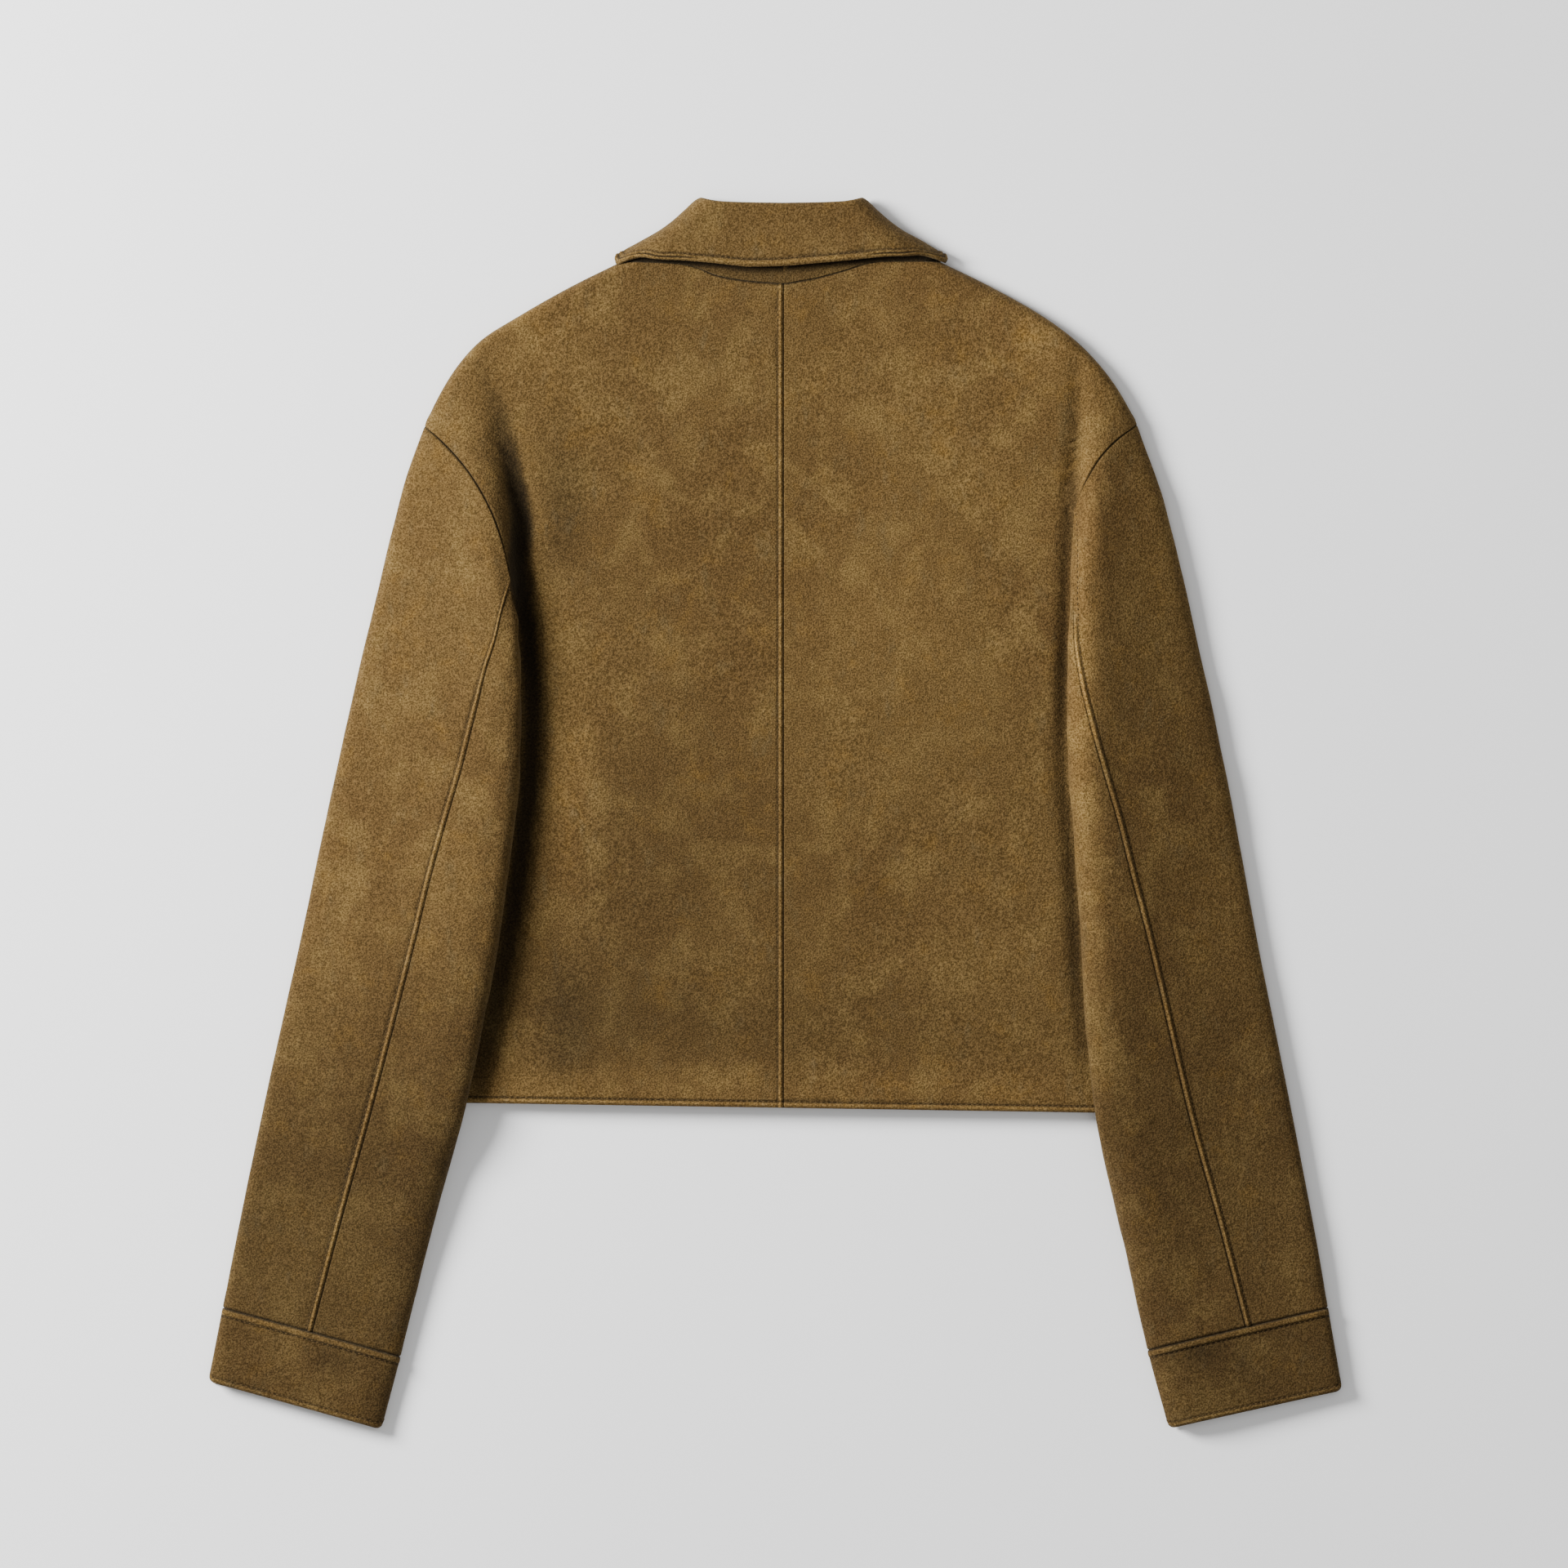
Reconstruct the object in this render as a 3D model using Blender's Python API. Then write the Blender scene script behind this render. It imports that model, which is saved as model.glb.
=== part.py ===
"""A cropped suede jacket lying flat, back up, on a level surface.

Axes: +X to the right and +Y towards the collar as one looks down on it, +Z up.
The surface it lies on is z = 0.  All sizes below are millimetres; a point of
the cloth is given by how far it is out from the centre-back line ("out") and
how far up the garment it is ("y"), for the left and for the right half.
"""

import bpy
import numpy as np

METRE = 0.001

# cloth: the suede, the suede where it is folded tight, and the collar's two layers
WALL = 1.6
THIN_WALL = 1.0
COLLAR_WALL = 2.4
# between two pieces at a seam, between two layers, and beside a seam folded under
SEAM_GAP = 0.3
LAYER_GAP = 1.2
FOLDED_TRIM = 0.7

# where things are
CENTRE_BACK_X = 5.25
ORIGIN_Y = -0.3
HEM_Y = -180.5
HEM_TILT = -0.0156
OPENING_GAP = 1.0

# the body: its level at the centre back, how far it drops to its sides, its rounded edges
BODY_LEVEL = 13.0
BODY_CROWN = 1.5
BODY_HALF_WIDTH = 240.0
EDGE_RADIUS = 6.0
EDGE_MIDDLE = 5.8
EDGE_TOUCH = 0.12
SAME_DISTANCE = 1e-6
# how far apart a surface is read for its slope, and a path for its direction
SLOPE_STEP = 0.05
HALF_STEP = 0.5
SLEEVE_EDGE_LEVEL = 9.5

# the fronts rise a little over the collar's leaves
COLLAR_CLEARANCE = 0.8
LEAF_LIFT = COLLAR_WALL + COLLAR_CLEARANCE
LEAF_RAMP = 62.0
LEAF_MARGIN = 8.0
LEAF_OUT = 128.0
LEAF_SIDE_RAMP = 20.0

# the sleeve's rolled inner edge: how far the roll reaches above and below, and its middle
ROLL_TOP_REACH = 30.0
ROLL_UNDER_REACH = 9.0
ROLL_MIDDLE = 0.42

# the crease beside the sleeve: how far inside its inner edge, and how wide the rise from it
CREASE_INSIDE = {"left": 9.0, "right": 3.0}
FLANK_WIDTH = {"left": 17.0, "right": 20.0}
FLANK_WIDENING = 0.16
CREASE_SOFTNESS = 0.5
LEVELLING = 7.0
# how the shoulder's roll dies away upwards, and below the fold
ROLL_FADE_ABOVE = 12.0
ROLL_FADE_LENGTH = 60.0
FOLD_FADE_LENGTH = 26.0
# how the sleeve comes down off the body's side and hem
COVER_REACH = 22.0
HEM_LEDGE = 9.0
HEM_REACH = 34.0

# out and y of the garment's outer edge, from the neck to the cuff
OUTER_EDGE = (
    # place, left out, left y, right out, right y
    ("neck", 98.6, 338.0, 94.3, 338.0),
    ("shoulder", 130.0, 322.5, 126.0, 322.5),
    ("shoulder", 163.5, 303.5, 159.5, 303.5),
    ("shoulder", 186.0, 289.0, 179.5, 288.5),
    ("shoulder", 200.0, 273.5, 194.0, 273.5),
    ("shoulder", 209.5, 258.5, 205.0, 258.5),
    ("armhole", 219.5, 238.0, 216.0, 238.0),
    ("sleeve", 229.0, 213.5, 225.5, 213.5),
    ("sleeve", 237.0, 183.5, 234.0, 183.5),
    ("sleeve", 248.0, 138.5, 245.5, 138.5),
    ("sleeve", 265.5, 63.5, 262.5, 63.5),
    ("sleeve", 282.0, -11.5, 277.5, -11.5),
    ("sleeve", 298.0, -86.5, 291.5, -86.5),
    ("sleeve", 314.5, -161.5, 306.5, -161.5),
    ("sleeve", 333.5, -251.5, 324.0, -251.5),
    ("cuff", 352.5, -348.0, 342.0, -353.5),
    ("below the cuff", 359.5, -382.0, 347.0, -382.0),
)

# the collar's hollow slanting side, from above its top corner down to the shoulder
COLLAR_SIDE = (
    # y, left out, right out
    (392.0, 26.0, 24.0),
    (373.8, 50.5, 47.5),
    (368.8, 56.6, 53.1),
    (363.8, 61.4, 58.1),
    (353.3, 73.6, 70.3),
    (348.0, 81.0, 77.8),
    (343.0, 90.0, 87.7),
    (338.0, 98.6, 94.3),
)
COLLAR_SIDE_POINTS = 28

# the sleeve's inner edge, carried on upwards as the line of the shoulder's roll
INNER_EDGE = (
    # y, left out, right out
    (275.0, 191.0, 181.5),
    (236.5, 180.0, 180.5),
    (190.5, 170.5, 177.5),
    (146.0, 166.0, 175.0),
    (108.5, 162.0, 174.0),
    (68.5, 159.5, 173.0),
    (28.5, 161.0, 173.5),
    (-11.5, 165.0, 177.0),
    (-61.5, 171.5, 180.0),
    (-121.5, 182.5, 184.0),
    (-181.5, 195.5, 190.5),
    (-251.5, 214.0, 205.5),
    (-326.5, 233.0, 222.0),
    (-381.5, 247.5, 237.0),
)

# where the sleeve's back seam lies, as a share of the way from outer to inner edge
BACK_SEAM = (
    # y, left share, right share
    (186.0, 0.93, 0.95),
    (142.5, 0.93, 0.965),
    (118.5, 0.885, 0.965),
    (84.5, 0.773, 0.915),
    (21.0, 0.671, 0.761),
    (-35.0, 0.605, 0.676),
    (-97.0, 0.573, 0.593),
    (-316.5, 0.502, 0.454),
    (-381.5, 0.48, 0.42),
)

# the height that the sleeve's slope would reach at its inner edge
SLEEVE_RIDGE = (
    # y, height
    (275.0, 16.0),
    (236.0, 23.0),
    (190.0, 31.0),
    (142.0, 36.0),
    (68.0, 38.5),
    (-60.0, 38.5),
    (-120.0, 35.5),
    (-170.0, 30.0),
    (-215.0, 23.0),
    (-303.0, 16.0),
    (-382.0, 14.0),
)

# the armhole on the back, from the shoulder to the fold
ARMHOLE_BACK = (
    # left out, left y, right out, right y
    (219.8, 237.0, 216.0, 238.0),
    (207.5, 226.0, 205.5, 230.0),
    (192.5, 208.0, 195.5, 220.0),
    (180.0, 187.5, 187.5, 208.5),
    (172.0, 166.0, 181.5, 197.5),
    (166.5, 142.5, 177.0, 186.0),
)

# and on from the fold, under the sleeve, to the underarm
ARMHOLE_HIDDEN = (
    (166.5, 142.5, 177.0, 186.0),
    (171.5, 118.0, 180.5, 150.0),
    (186.5, 90.0, 189.5, 110.0),
    (210.5, 66.0, 209.5, 75.0),
    (238.0, 48.5, 238.0, 48.5),
)

# the armhole on the front, from the shoulder to the underarm
ARMHOLE_FRONT = (
    (219.8, 237.0, 216.0, 238.0),
    (213.5, 200.0, 209.5, 200.0),
    (213.0, 160.0, 209.0, 160.0),
    (218.0, 115.0, 215.0, 115.0),
    (226.5, 78.0, 225.0, 78.0),
    (238.0, 48.5, 238.0, 48.5),
)

# the body's side fold
SIDE_FOLD = (
    (238.0, 48.5, 238.0, 48.5),
    (235.5, -60.0, 236.0, -60.0),
    (236.0, -190.0, 237.0, -190.0),
)

# the neckline and the collar across the back and the front of the neck
NECKLINE = (
    # share of the half width, back left y, back right y, front y
    (0.0, 324.2, 324.2, 262.0),
    (0.2, 325.6, 327.4, 267.5),
    (0.4, 328.8, 332.4, 284.0),
    (0.62, 336.2, 337.8, 312.0),
    (1.0, 338.0, 338.0, 338.0),
)
COLLAR_ROLL = (
    # share of the half width, back y, front y
    (0.0, 371.0, 300.0),
    (0.3, 371.3, 314.0),
    (0.6, 372.0, 342.0),
    (0.85, 373.0, 365.0),
    (1.0, 373.8, 373.8),
)
# the fall's loose edge
FALL_EDGE = (
    # share of the half width, back left y, back right y, front y
    (0.0, 335.0, 335.0, 258.0),
    (0.2, 334.5, 337.3, 245.0),
    (0.4, 336.5, 339.8, 238.0),
    (0.52, 338.5, 341.6, 262.0),
    (0.65, 340.5, 343.5, 285.0),
    (0.85, 343.0, 345.7, 322.0),
    (0.94, 342.0, 343.5, 333.0),
    (1.0, 339.0, 339.0, 339.0),
)
FALL_LIFT = 3.5

# the cuff: its top seam and its end, at the sleeve's outer and inner edge
CUFF_SEAM = {"left": (-303.0, -333.0), "right": (-303.0, -329.0)}
CUFF_END = {"left": (-348.0, -377.5), "right": (-353.5, -377.0)}

# how far from an edge the columns of points lie where the cloth turns round
TURN_STEPS = (0.0, 0.9, 3.2, 6.5)
POINTS_PER_BEND = 12
SHARP_ANGLE = 50.0

SUEDE = (0.155, 0.088, 0.029)
SIDES = {"left": -1.0, "right": 1.0}
SIDE_COLUMN = {"left": 0, "right": 2}


def smooth_step(x):
    """0 below 0, 1 above 1 and a soft rise between."""
    x = np.clip(x, 0.0, 1.0)
    return x * x * (3.0 - 2.0 * x)


def rounded_rise(x):
    """A rise from a crease at 0 to a rounded top at 1."""
    x = np.clip(x, 0.0, 1.0)
    return mix(x * (2.0 - x), smooth_step(x), CREASE_SOFTNESS)


def mix(a, b, share):
    return a + (b - a) * share


def level_off(share):
    """Follows a share and levels off softly at 1."""
    return 1.0 - np.logaddexp(0.0, LEVELLING * (1.0 - share)) / LEVELLING


def through(xs, ys, at):
    """A smooth curve through rising xs that never overshoots its points."""
    xs, ys, at = np.asarray(xs, float), np.asarray(ys, float), np.asarray(at, float)
    step = np.diff(xs)
    rise = np.diff(ys) / step
    slope = np.zeros(len(xs))
    slope[0], slope[-1] = rise[0], rise[-1]
    for k in range(1, len(xs) - 1):
        if rise[k - 1] * rise[k] > 0:
            a = 2 * step[k] + step[k - 1]
            b = step[k] + 2 * step[k - 1]
            slope[k] = (a + b) / (a / rise[k - 1] + b / rise[k])
    at = np.clip(at, xs[0], xs[-1])
    k = np.clip(np.searchsorted(xs, at, side="right") - 1, 0, len(step) - 1)
    t = (at - xs[k]) / step[k]
    return (
        (2 * t**3 - 3 * t**2 + 1) * ys[k]
        + (t**3 - 2 * t**2 + t) * step[k] * slope[k]
        + (3 * t**2 - 2 * t**3) * ys[k + 1]
        + (t**3 - t**2) * step[k] * slope[k + 1]
    )


def falling(table, column, y):
    """Reads a table whose first column falls."""
    rows = np.array([row for row in table], float)[::-1]
    return through(rows[:, 0], rows[:, column], y)


def path(points):
    """Arc lengths and points of a smooth path through a few points."""
    points = np.asarray(points, float)
    length = np.concatenate([[0.0], np.cumsum(np.hypot(*np.diff(points, axis=0).T))])
    fine = np.linspace(0.0, length[-1], POINTS_PER_BEND * len(points))
    return np.stack([through(length, points[:, 0], fine), through(length, points[:, 1], fine)], axis=1)


def along(line, distances):
    """Points of a path at the given distances from its start."""
    length = np.concatenate([[0.0], np.cumsum(np.hypot(*np.diff(line, axis=0).T))])
    distances = np.asarray(distances, float)
    across, up = (np.interp(distances, length, line[:, k]) for k in (0, 1))
    return np.stack([across, up], axis=-1)


def beside(line, distances):
    """Points along a seam, moved off it by the seam's gap to the sleeve's side."""
    step = along(line, distances + HALF_STEP) - along(line, distances - HALF_STEP)
    step /= np.hypot(*step.T)[:, None]
    away = np.stack([-step[:, 1], step[:, 0]], axis=1)
    return along(line, distances) + SEAM_GAP * away


def length_of(line):
    return float(np.hypot(*np.diff(line, axis=0).T).sum())


def distance_to(lines, out, y):
    """Plan distance from points to the nearest of some paths."""
    best = np.full(np.shape(out), np.inf)
    for line in lines:
        for a, b in zip(line[:-1], line[1:]):
            run = b - a
            share = ((out - a[0]) * run[0] + (y - a[1]) * run[1]) / (run @ run)
            share = np.clip(share, 0.0, 1.0)
            best = np.minimum(best, np.hypot(out - a[0] - share * run[0], y - a[1] - share * run[1]))
    return best


def turn(distance, reach):
    """0 at an edge, 1 a reach away from it, round between."""
    return np.sqrt(1.0 - (1.0 - np.clip(distance / reach, 0.0, 1.0)) ** 2)


class Half:
    """One half of the jacket, measured out from the centre back."""

    def __init__(self, side):
        self.side = side
        self.sign = SIDES[side]
        pick = SIDE_COLUMN[side]
        self.column = 1 + pick // 2
        self.outer = path([row[1 + pick:3 + pick] for row in OUTER_EDGE])
        self.armhole_back = path([row[pick:2 + pick] for row in ARMHOLE_BACK])
        self.armhole_hidden = path([row[pick:2 + pick] for row in ARMHOLE_HIDDEN])
        self.armhole_front = path([row[pick:2 + pick] for row in ARMHOLE_FRONT])
        self.side_fold = path([row[pick:2 + pick] for row in SIDE_FOLD])
        self.fold_y = ARMHOLE_BACK[-1][1 + pick]
        self.neck = np.array(OUTER_EDGE[0][1 + pick:3 + pick])
        side_y = np.linspace(COLLAR_SIDE[0][0], self.neck[1], COLLAR_SIDE_POINTS)
        self.collar_side = np.stack([self.collar_half_width(side_y), side_y], axis=1)
        self.edges = (self.collar_side, self.outer, self.side_fold)

    def outer_at(self, y):
        return np.interp(-np.asarray(y, float), -self.outer[:, 1], self.outer[:, 0])

    def inner_at(self, y):
        return falling(INNER_EDGE, self.column, y)

    def collar_half_width(self, y):
        """How far out the collar's side is."""
        return falling(COLLAR_SIDE, self.column, y)

    def seam_at(self, y):
        return falling(BACK_SEAM, self.column, y)

    def hem_at(self, out):
        return HEM_Y + HEM_TILT * self.sign * out

    def share(self, out, y):
        """Share of the way from the sleeve's outer edge to its inner edge."""
        outer, inner = self.outer_at(y), self.inner_at(y)
        return (outer - out) / (outer - inner)

    # heights of the cloth's outer faces

    def body_free(self, out, y, folded=True):
        """The back panel's top face before it turns round its own edges."""
        level = BODY_LEVEL - BODY_CROWN * (out / BODY_HALF_WIDTH) ** 2
        slope = mix(SLEEVE_EDGE_LEVEL, falling(SLEEVE_RIDGE, 1, y), level_off(self.share(out, y)))
        width = FLANK_WIDTH[self.side] + FLANK_WIDENING * np.maximum(y - self.fold_y, 0.0)
        flank = rounded_rise((out - self.inner_at(y) + CREASE_INSIDE[self.side]) / width)
        fade = smooth_step((INNER_EDGE[0][0] + ROLL_FADE_ABOVE - y) / ROLL_FADE_LENGTH)
        if folded:
            fade = fade * smooth_step((y - self.fold_y + FOLD_FADE_LENGTH) / FOLD_FADE_LENGTH)
        return level + (slope - level) * flank * fade

    def edge_turn(self, out, y):
        return turn(distance_to(self.edges, out, y), EDGE_RADIUS)

    def body_top(self, out, y):
        return mix(EDGE_MIDDLE, self.body_free(out, y), self.edge_turn(out, y))

    def shoulder_top(self, out, y):
        """The shoulder's rolled top face, carried on down over the sleeve."""
        return mix(EDGE_MIDDLE, self.body_free(out, y, folded=False), self.edge_turn(out, y))

    def leaf_lift(self, out, y):
        """The fronts rise a little where the collar's leaves lie under them."""
        low = read_across(FALL_EDGE, 3, out / self.neck[0])
        above = smooth_step((y - low + LEAF_RAMP) / (LEAF_RAMP - LEAF_MARGIN))
        return LEAF_LIFT * above * smooth_step((LEAF_OUT - out) / LEAF_SIDE_RAMP)

    def body_under(self, out, y):
        """The front panel's lower face."""
        low = self.leaf_lift(out, y)
        return mix(EDGE_MIDDLE, low, self.edge_turn(out, y))

    def cover(self, out, y):
        """The sleeve's lower face: on the body, and beyond it on the surface."""
        side_out = np.interp(-y, -self.side_fold[:, 1], self.side_fold[:, 0])
        past_side = np.where(out > side_out, distance_to((self.side_fold,), out, y), 0.0)
        past_hem = np.maximum(self.hem_at(out) - HEM_LEDGE - y, 0.0)
        beside = smooth_step(1.0 - past_side / COVER_REACH)
        below = smooth_step(1.0 - past_hem / HEM_REACH)
        return (self.body_free(out, y) + LAYER_GAP) * beside * below

    def sleeve_top(self, out, y):
        outer, inner = self.outer_at(y), self.inner_at(y)
        ridge = falling(SLEEVE_RIDGE, 1, y)
        slope = mix(SLEEVE_EDGE_LEVEL, ridge, self.share(out, y))
        middle = self.roll_middle(y)
        rolled = mix(middle, slope, turn(out - inner, ROLL_TOP_REACH))
        return mix(EDGE_MIDDLE, rolled, turn(distance_to((self.outer,), out, y), EDGE_RADIUS))

    def roll_middle(self, y):
        inner = self.inner_at(y)
        return mix(self.cover(inner, y), falling(SLEEVE_RIDGE, 1, y), ROLL_MIDDLE)

    def sleeve_under(self, out, y, middle):
        low = self.cover(out, y)
        rolled = mix(middle, low, turn(out - self.inner_at(y), ROLL_UNDER_REACH))
        return mix(EDGE_MIDDLE, rolled, turn(distance_to((self.outer,), out, y), EDGE_RADIUS))

    def world(self, out, y, z):
        return np.stack([CENTRE_BACK_X + self.sign * out, y - ORIGIN_Y + 0.0 * out, z + 0.0 * out], axis=-1)


def face_out(height, out, y, sign, upward):
    """Unit normals of a height field, pointing up or down."""
    d_out = (height(out + SLOPE_STEP, y) - height(out - SLOPE_STEP, y)) / (2 * SLOPE_STEP)
    d_y = (height(out, y + SLOPE_STEP) - height(out, y - SLOPE_STEP)) / (2 * SLOPE_STEP)
    flip = 1.0 if upward else -1.0
    normal = np.stack([-sign * d_out * flip, -d_y * flip, np.full(np.shape(d_out), flip)], axis=-1)
    return normal / np.linalg.norm(normal, axis=-1, keepdims=True)


def grid_normals(points, closed):
    """Normals of a grid of rows and columns; closed joins the last column to the first."""
    if closed:
        wide = np.concatenate([points[:, -1:], points, points[:, :1]], axis=1)
        across = (wide[:, 2:] - wide[:, :-2])
    else:
        across = np.gradient(points, axis=1)
    down = np.gradient(points, axis=0)
    normal = np.cross(across, down)
    return normal / np.linalg.norm(normal, axis=2, keepdims=True)


def pull_in(points, edges, folded_rows):
    """Moves a grid's edges in by half a seam gap, its sides further where they are folded under."""
    half = SEAM_GAP / 2
    side = np.where(np.arange(len(points)) < folded_rows, FOLDED_TRIM, half)[:, None]
    points = points.copy()
    for edge in edges:
        last = {"top": (0, 1), "bottom": (-1, -2)}.get(edge)
        if last:
            step = points[last[1]] - points[last[0]]
            points[last[0]] += half * step / np.linalg.norm(step, axis=-1, keepdims=True)
        else:
            here, there = (0, 1) if edge == "first" else (-1, -2)
            step = points[:, there] - points[:, here]
            points[:, here] += side * step / np.linalg.norm(step, axis=-1, keepdims=True)
    return points


def suede():
    material = bpy.data.materials.new("suede")
    material.use_nodes = True
    shader = material.node_tree.nodes["Principled BSDF"]
    shader.inputs["Base Color"].default_value = (*SUEDE, 1.0)
    shader.inputs["Roughness"].default_value = 0.95
    shader.inputs["Metallic"].default_value = 0.0
    return material


def sheet(name, outer, normals, thickness, edges=(), closed=False, folded_rows=0):
    """A closed wall of cloth under a grid of points on its outer face."""
    inner = outer - normals * np.broadcast_to(thickness, outer.shape[:2])[..., None]
    outer, inner = pull_in(outer, edges, folded_rows), pull_in(inner, edges, folded_rows)
    rows, columns = outer.shape[:2]
    points = np.concatenate([outer.reshape(-1, 3), inner.reshape(-1, 3)]) * METRE
    under = rows * columns

    def at(row, column):
        return row * columns + column % columns

    spans = columns if closed else columns - 1
    faces = []
    for r in range(rows - 1):
        for c in range(spans):
            near, below, across, next_to = at(r, c), at(r + 1, c), at(r + 1, c + 1), at(r, c + 1)
            for corners in ((near, below, across), (near, across, next_to)):
                faces.append(corners[::-1])
                faces.append([under + k for k in corners])
    for c in range(spans):
        a, b = at(0, c), at(0, c + 1)
        faces.append([a, b, under + b, under + a][::-1])
        a, b = at(rows - 1, c), at(rows - 1, c + 1)
        faces.append([a, b, under + b, under + a])
    if not closed:
        for r in range(rows - 1):
            a, b = at(r, 0), at(r + 1, 0)
            faces.append([a, b, under + b, under + a])
            a, b = at(r, columns - 1), at(r + 1, columns - 1)
            faces.append([a, b, under + b, under + a][::-1])

    mesh = bpy.data.meshes.new(name)
    mesh.from_pydata([tuple(p) for p in points], [], faces)
    if signed_volume(points, mesh) < 0:
        mesh.flip_normals()
    mesh.validate()
    mesh.shade_smooth()
    mesh.set_sharp_from_angle(angle=np.radians(SHARP_ANGLE))
    mesh.materials.append(suede())
    piece = bpy.data.objects.new(name, mesh)
    bpy.context.scene.collection.objects.link(piece)
    return piece


def signed_volume(points, mesh):
    total = 0.0
    for face in mesh.polygons:
        corners = [points[k] for k in face.vertices]
        for b, c in zip(corners[1:-1], corners[2:]):
            total += np.dot(corners[0], np.cross(b, c))
    return total


# ---- the body's panels

# rows of points along a panel's edge: shoulder, hidden armhole (shares of it), side
SHOULDER_ROWS = 8
HIDDEN_ROWS = (0.1, 0.22, 0.4, 0.6, 0.8, 0.92, 1.0)
SIDE_ROWS = 5
# points on the visible back armhole, and on the front one: its seam and the run to the underarm
SEAM_COLUMNS = 5
FRONT_SEAM_SHARE = 0.1
FRONT_SEAM_STEPS = 6
UNDERARM_NEAR = (30.0, 14.0, 6.0, 0.0)
# columns of a panel: near its outer edge, closer in a short row, and the even ones to the centre
PANEL_NEAR = (0.0, 0.9, 3.2, 6.5, 12.0, 18.0, 25.0, 34.0, 46.0)
SHORT_ROW = 90.0
PANEL_FAR = 5
# how the rows straighten down from the neckline
FRONT_CROWDING = 1.2
NECK_CURVE_SHARE = 0.35


def seam_distances(line):
    """Distances down the visible back armhole that sleeve and panel share."""
    even = np.linspace(TURN_STEPS[-1], length_of(line), SEAM_COLUMNS + 1)[1:]
    return np.concatenate([TURN_STEPS, even])


def front_distances(line):
    """Distances down the front armhole: round the edge, the front seam, the underarm."""
    whole = length_of(line)
    seam = FRONT_SEAM_SHARE * whole
    near = whole - np.array(UNDERARM_NEAR)
    even = np.linspace(seam, near[0], FRONT_SEAM_STEPS - len(near) + 2)[1:-1]
    return np.concatenate([TURN_STEPS, [seam], even, near])


def panel_edge(half, back):
    """Points of the panel's outer edge from the neck to the hem."""
    shoulder = half.outer
    start = np.argmin(np.hypot(*(shoulder - half.neck).T))
    stop = np.argmin(np.hypot(*(shoulder - half.armhole_back[0]).T))
    line = np.concatenate([[half.neck], shoulder[start + 1:stop], [half.armhole_back[0]]])
    points = [along(line, np.linspace(0.0, length_of(line), SHOULDER_ROWS + 1))[:-1]]
    if back:
        points.append(along(half.armhole_back, seam_distances(half.armhole_back)))
        hidden = half.armhole_hidden
        points.append(along(hidden, length_of(hidden) * np.array(HIDDEN_ROWS)))
    else:
        points.append(along(half.armhole_front, front_distances(half.armhole_front)))
    side = half.side_fold
    hem = side[:, 1] >= half.hem_at(side[:, 0])
    side = np.concatenate([side[hem], [[side[-1, 0], half.hem_at(side[-1, 0])]]])
    points.append(along(side, length_of(side) * np.linspace(0, 1, SIDE_ROWS + 1)[1:]))
    return np.concatenate(points)


def panel_rows(half, back):
    """Plan positions of a panel: each row runs from the centre to the outer edge."""
    edge = panel_edge(half, back)
    column = half.column if back else 3
    neck_y = NECKLINE[0][column]
    fall = np.concatenate([[0.0], np.cumsum(np.hypot(*np.diff(edge, axis=0).T))])
    fall /= fall[-1]
    centre_y = mix(neck_y, HEM_Y, fall ** (1.0 if back else FRONT_CROWDING))
    first = 0.0 if back else OPENING_GAP / 2
    rows_out, rows_y = [], []
    for k, (end_out, end_y) in enumerate(edge):
        near = np.array(PANEL_NEAR) * min(1.0, (end_out - first) / SHORT_ROW)
        far = np.linspace(first, end_out - near[-1], PANEL_FAR + 1)[:-1]
        out = np.concatenate([far, (end_out - near)[::-1]])
        share = (out - first) / (end_out - first)
        neck_line = read_across(NECKLINE, column, share)
        neck_share = (neck_line - neck_y) / (NECKLINE[-1][column] - neck_y)
        bend = mix(neck_share, share, smooth_step(fall[k] / NECK_CURVE_SHARE))
        rows_out.append(out)
        rows_y.append(mix(centre_y[k], end_y, bend))
    return np.array(rows_out), np.array(rows_y)


def horizontal_at_edge(half, out, y, normals):
    """Where the cloth turns right round an edge it faces straight outwards."""
    reach = distance_to(half.edges, out, y)
    for r, c in zip(*np.nonzero(reach < EDGE_TOUCH)):
        best, away = np.inf, None
        for line in half.edges:
            for a, b in zip(line[:-1], line[1:]):
                run = b - a
                share = np.clip(((out[r, c] - a[0]) * run[0] + (y[r, c] - a[1]) * run[1]) / (run @ run), 0, 1)
                gap = np.hypot(out[r, c] - a[0] - share * run[0], y[r, c] - a[1] - share * run[1])
                if gap < best - SAME_DISTANCE:
                    best, away = gap, np.array([-run[1], run[0]]) / np.hypot(*run)
        normals[r, c] = (half.sign * away[0], away[1], 0.0)
    return normals


def body_panel(name, half, back):
    out, y = panel_rows(half, back)
    height = half.body_top if back else half.body_under
    points = half.world(out, y, height(out, y))
    normals = face_out(height, out, y, half.sign, back)
    normals = horizontal_at_edge(half, out, y, normals)
    sheet(name, points, normals, WALL, edges=("top", "first", "last"))


# ---- sleeves and cuffs

# rows from the armhole to the first whole ring, the tight ones, and those that take up the roll
UPPER_ROWS = 6
THIN_ROWS = 3
BLEND_ROWS = 2
# columns from the back seam to the inner edge (shares of the way), and on under it
ROLL_SHARES = (0.62, 0.36, 0.18, 0.06, 0.0)
ROLL_UNDER_STEPS = (1.3, 4.5, 9.0)
# where those columns start on the hidden armhole (shares of it)
HIDDEN_SHARES = (0.035, 0.07, 0.105, 0.14, 0.18, 0.22, 0.27, 0.35, 0.5, 0.75, 0.92, 1.0)
# the hidden armhole rises to lie on the panel within this many columns
STACK_COLUMNS = 2
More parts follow.
